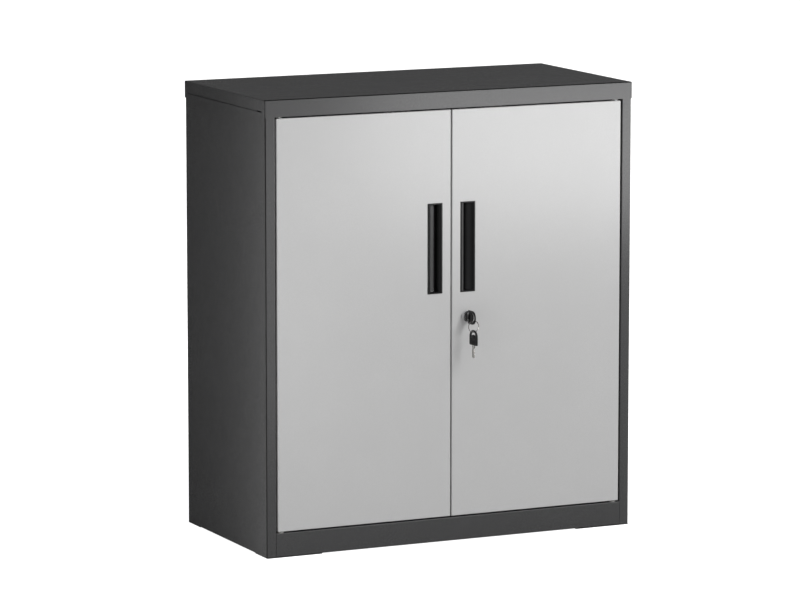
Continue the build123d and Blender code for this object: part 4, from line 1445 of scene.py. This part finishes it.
for side in ("left", "right"):
    for end in ("front", "back"):
        foot = eased_copy(f"{side}_{end}_foot", f"{side}_{end}_foot_plate", PLATE_EASE)
        settle(foot, black_plastic, "carcass", [f"{side}_{end}_foot_plate"])

# %% [markdown]
# ## Plinth tabs
# The kick rail stops a hair short of each stile. On the real object its ends are folded back
# and spot-welded to the stile, so the seam is a dark line and never a slit to look through.
# A tab is an L drawn once in plan and pulled up; its bend lies just behind the seam.

# %% Plinth tabs
TAB_REACH = 14.0
TAB_SHEET = 0.8
TAB_CLEAR = 0.02
TAB_FOOT = 3.0
TAB_HEAD = 9.0
TAB_EASE = 0.25
SEAM = 0.2


def plinth_tab(name, side):
    """The folded end that ties the plinth to a stile."""
    low, high = box_mm("plinth")
    outer = side * (high.x + SEAM - TAB_CLEAR)
    inner = outer - side * TAB_SHEET
    tip = outer - side * TAB_REACH
    front = low.y + TAB_SHEET + TAB_CLEAR
    behind = front + TAB_SHEET
    plan = [
        (outer, front), (outer, front + TAB_REACH), (inner, front + TAB_REACH),
        (inner, behind), (tip, behind), (tip, front),
    ]
    return eased(prism(name, plan, low.z + TAB_FOOT, high.z - TAB_HEAD, "z"), TAB_EASE)


for name, side in (("left", -1), ("right", 1)):
    settle(plinth_tab(f"{name}_plinth_tab", side), carcass_paint, "carcass")

# %% [markdown]
# ## Pivots
# Each door turns on two short pins that run in nylon bushes, one in the header and one in
# the plinth. A pin is turned, with a collar on either face of the door's folded edge and a
# rounded nose that finds the bush. Pin and bush are drawn once, from the face that they are
# fixed to outwards, and flipped for the foot of the door.

# %% Pivot pins and bushes
PIN_SECTION = [
    (ON_AXIS, -6.8), (2.6, -6.8), (3.0, -6.4), (3.0, -2.0), (5.25, -2.0), (5.5, -1.75),
    (5.5, -0.8), (3.0, -0.8), (3.0, 0.0), (5.5, 0.0), (5.5, 0.95), (5.25, 1.2), (3.0, 1.2),
    (3.0, 9.9), (2.8, 10.5), (2.2, 11.0), (1.3, 11.2), (ON_AXIS, 11.2),
]
BUSH_FLANGE = 1.2
BUSH_SECTION = [
    (3.05, 0.85), (3.4, BUSH_FLANGE), (6.15, BUSH_FLANGE), (6.5, 0.85), (6.5, 0.0),
    (5.0, 0.0), (5.0, -6.3), (4.7, -6.8), (3.05, -6.8),
]


def on_pivot(name, profile, node, face, way):
    """A section stood on a node's upright axis, outwards from a face."""
    low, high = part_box(node)
    centre = Vector(((low.x + high.x) / 2, (low.y + high.y) / 2, 0))
    standing = [(radius, face / MM + way * out) for radius, out in profile]
    return turned(name, standing, centre, "z", steps=48)


for side in ("left", "right"):
    door_low, door_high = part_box(f"{side}_door_panel")
    for end, way, door_face in (("top", 1, door_high.z), ("bottom", -1, door_low.z)):
        node = f"{side}_{end}_pivot_pin"
        pin = on_pivot(f"{side}_{end}_pin", PIN_SECTION, node, door_face, way)
        settle(pin, zinc_plate, f"{side}_door", [node])
        node = f"{side}_{end}_pivot_bush"
        low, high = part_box(node)
        flange = BUSH_FLANGE * MM
        seat = low.z + flange if end == "top" else high.z - flange
        bush = on_pivot(f"{side}_{end}_bush", BUSH_SECTION, node, seat, -way)
        settle(bush, white_nylon, "carcass", [node])
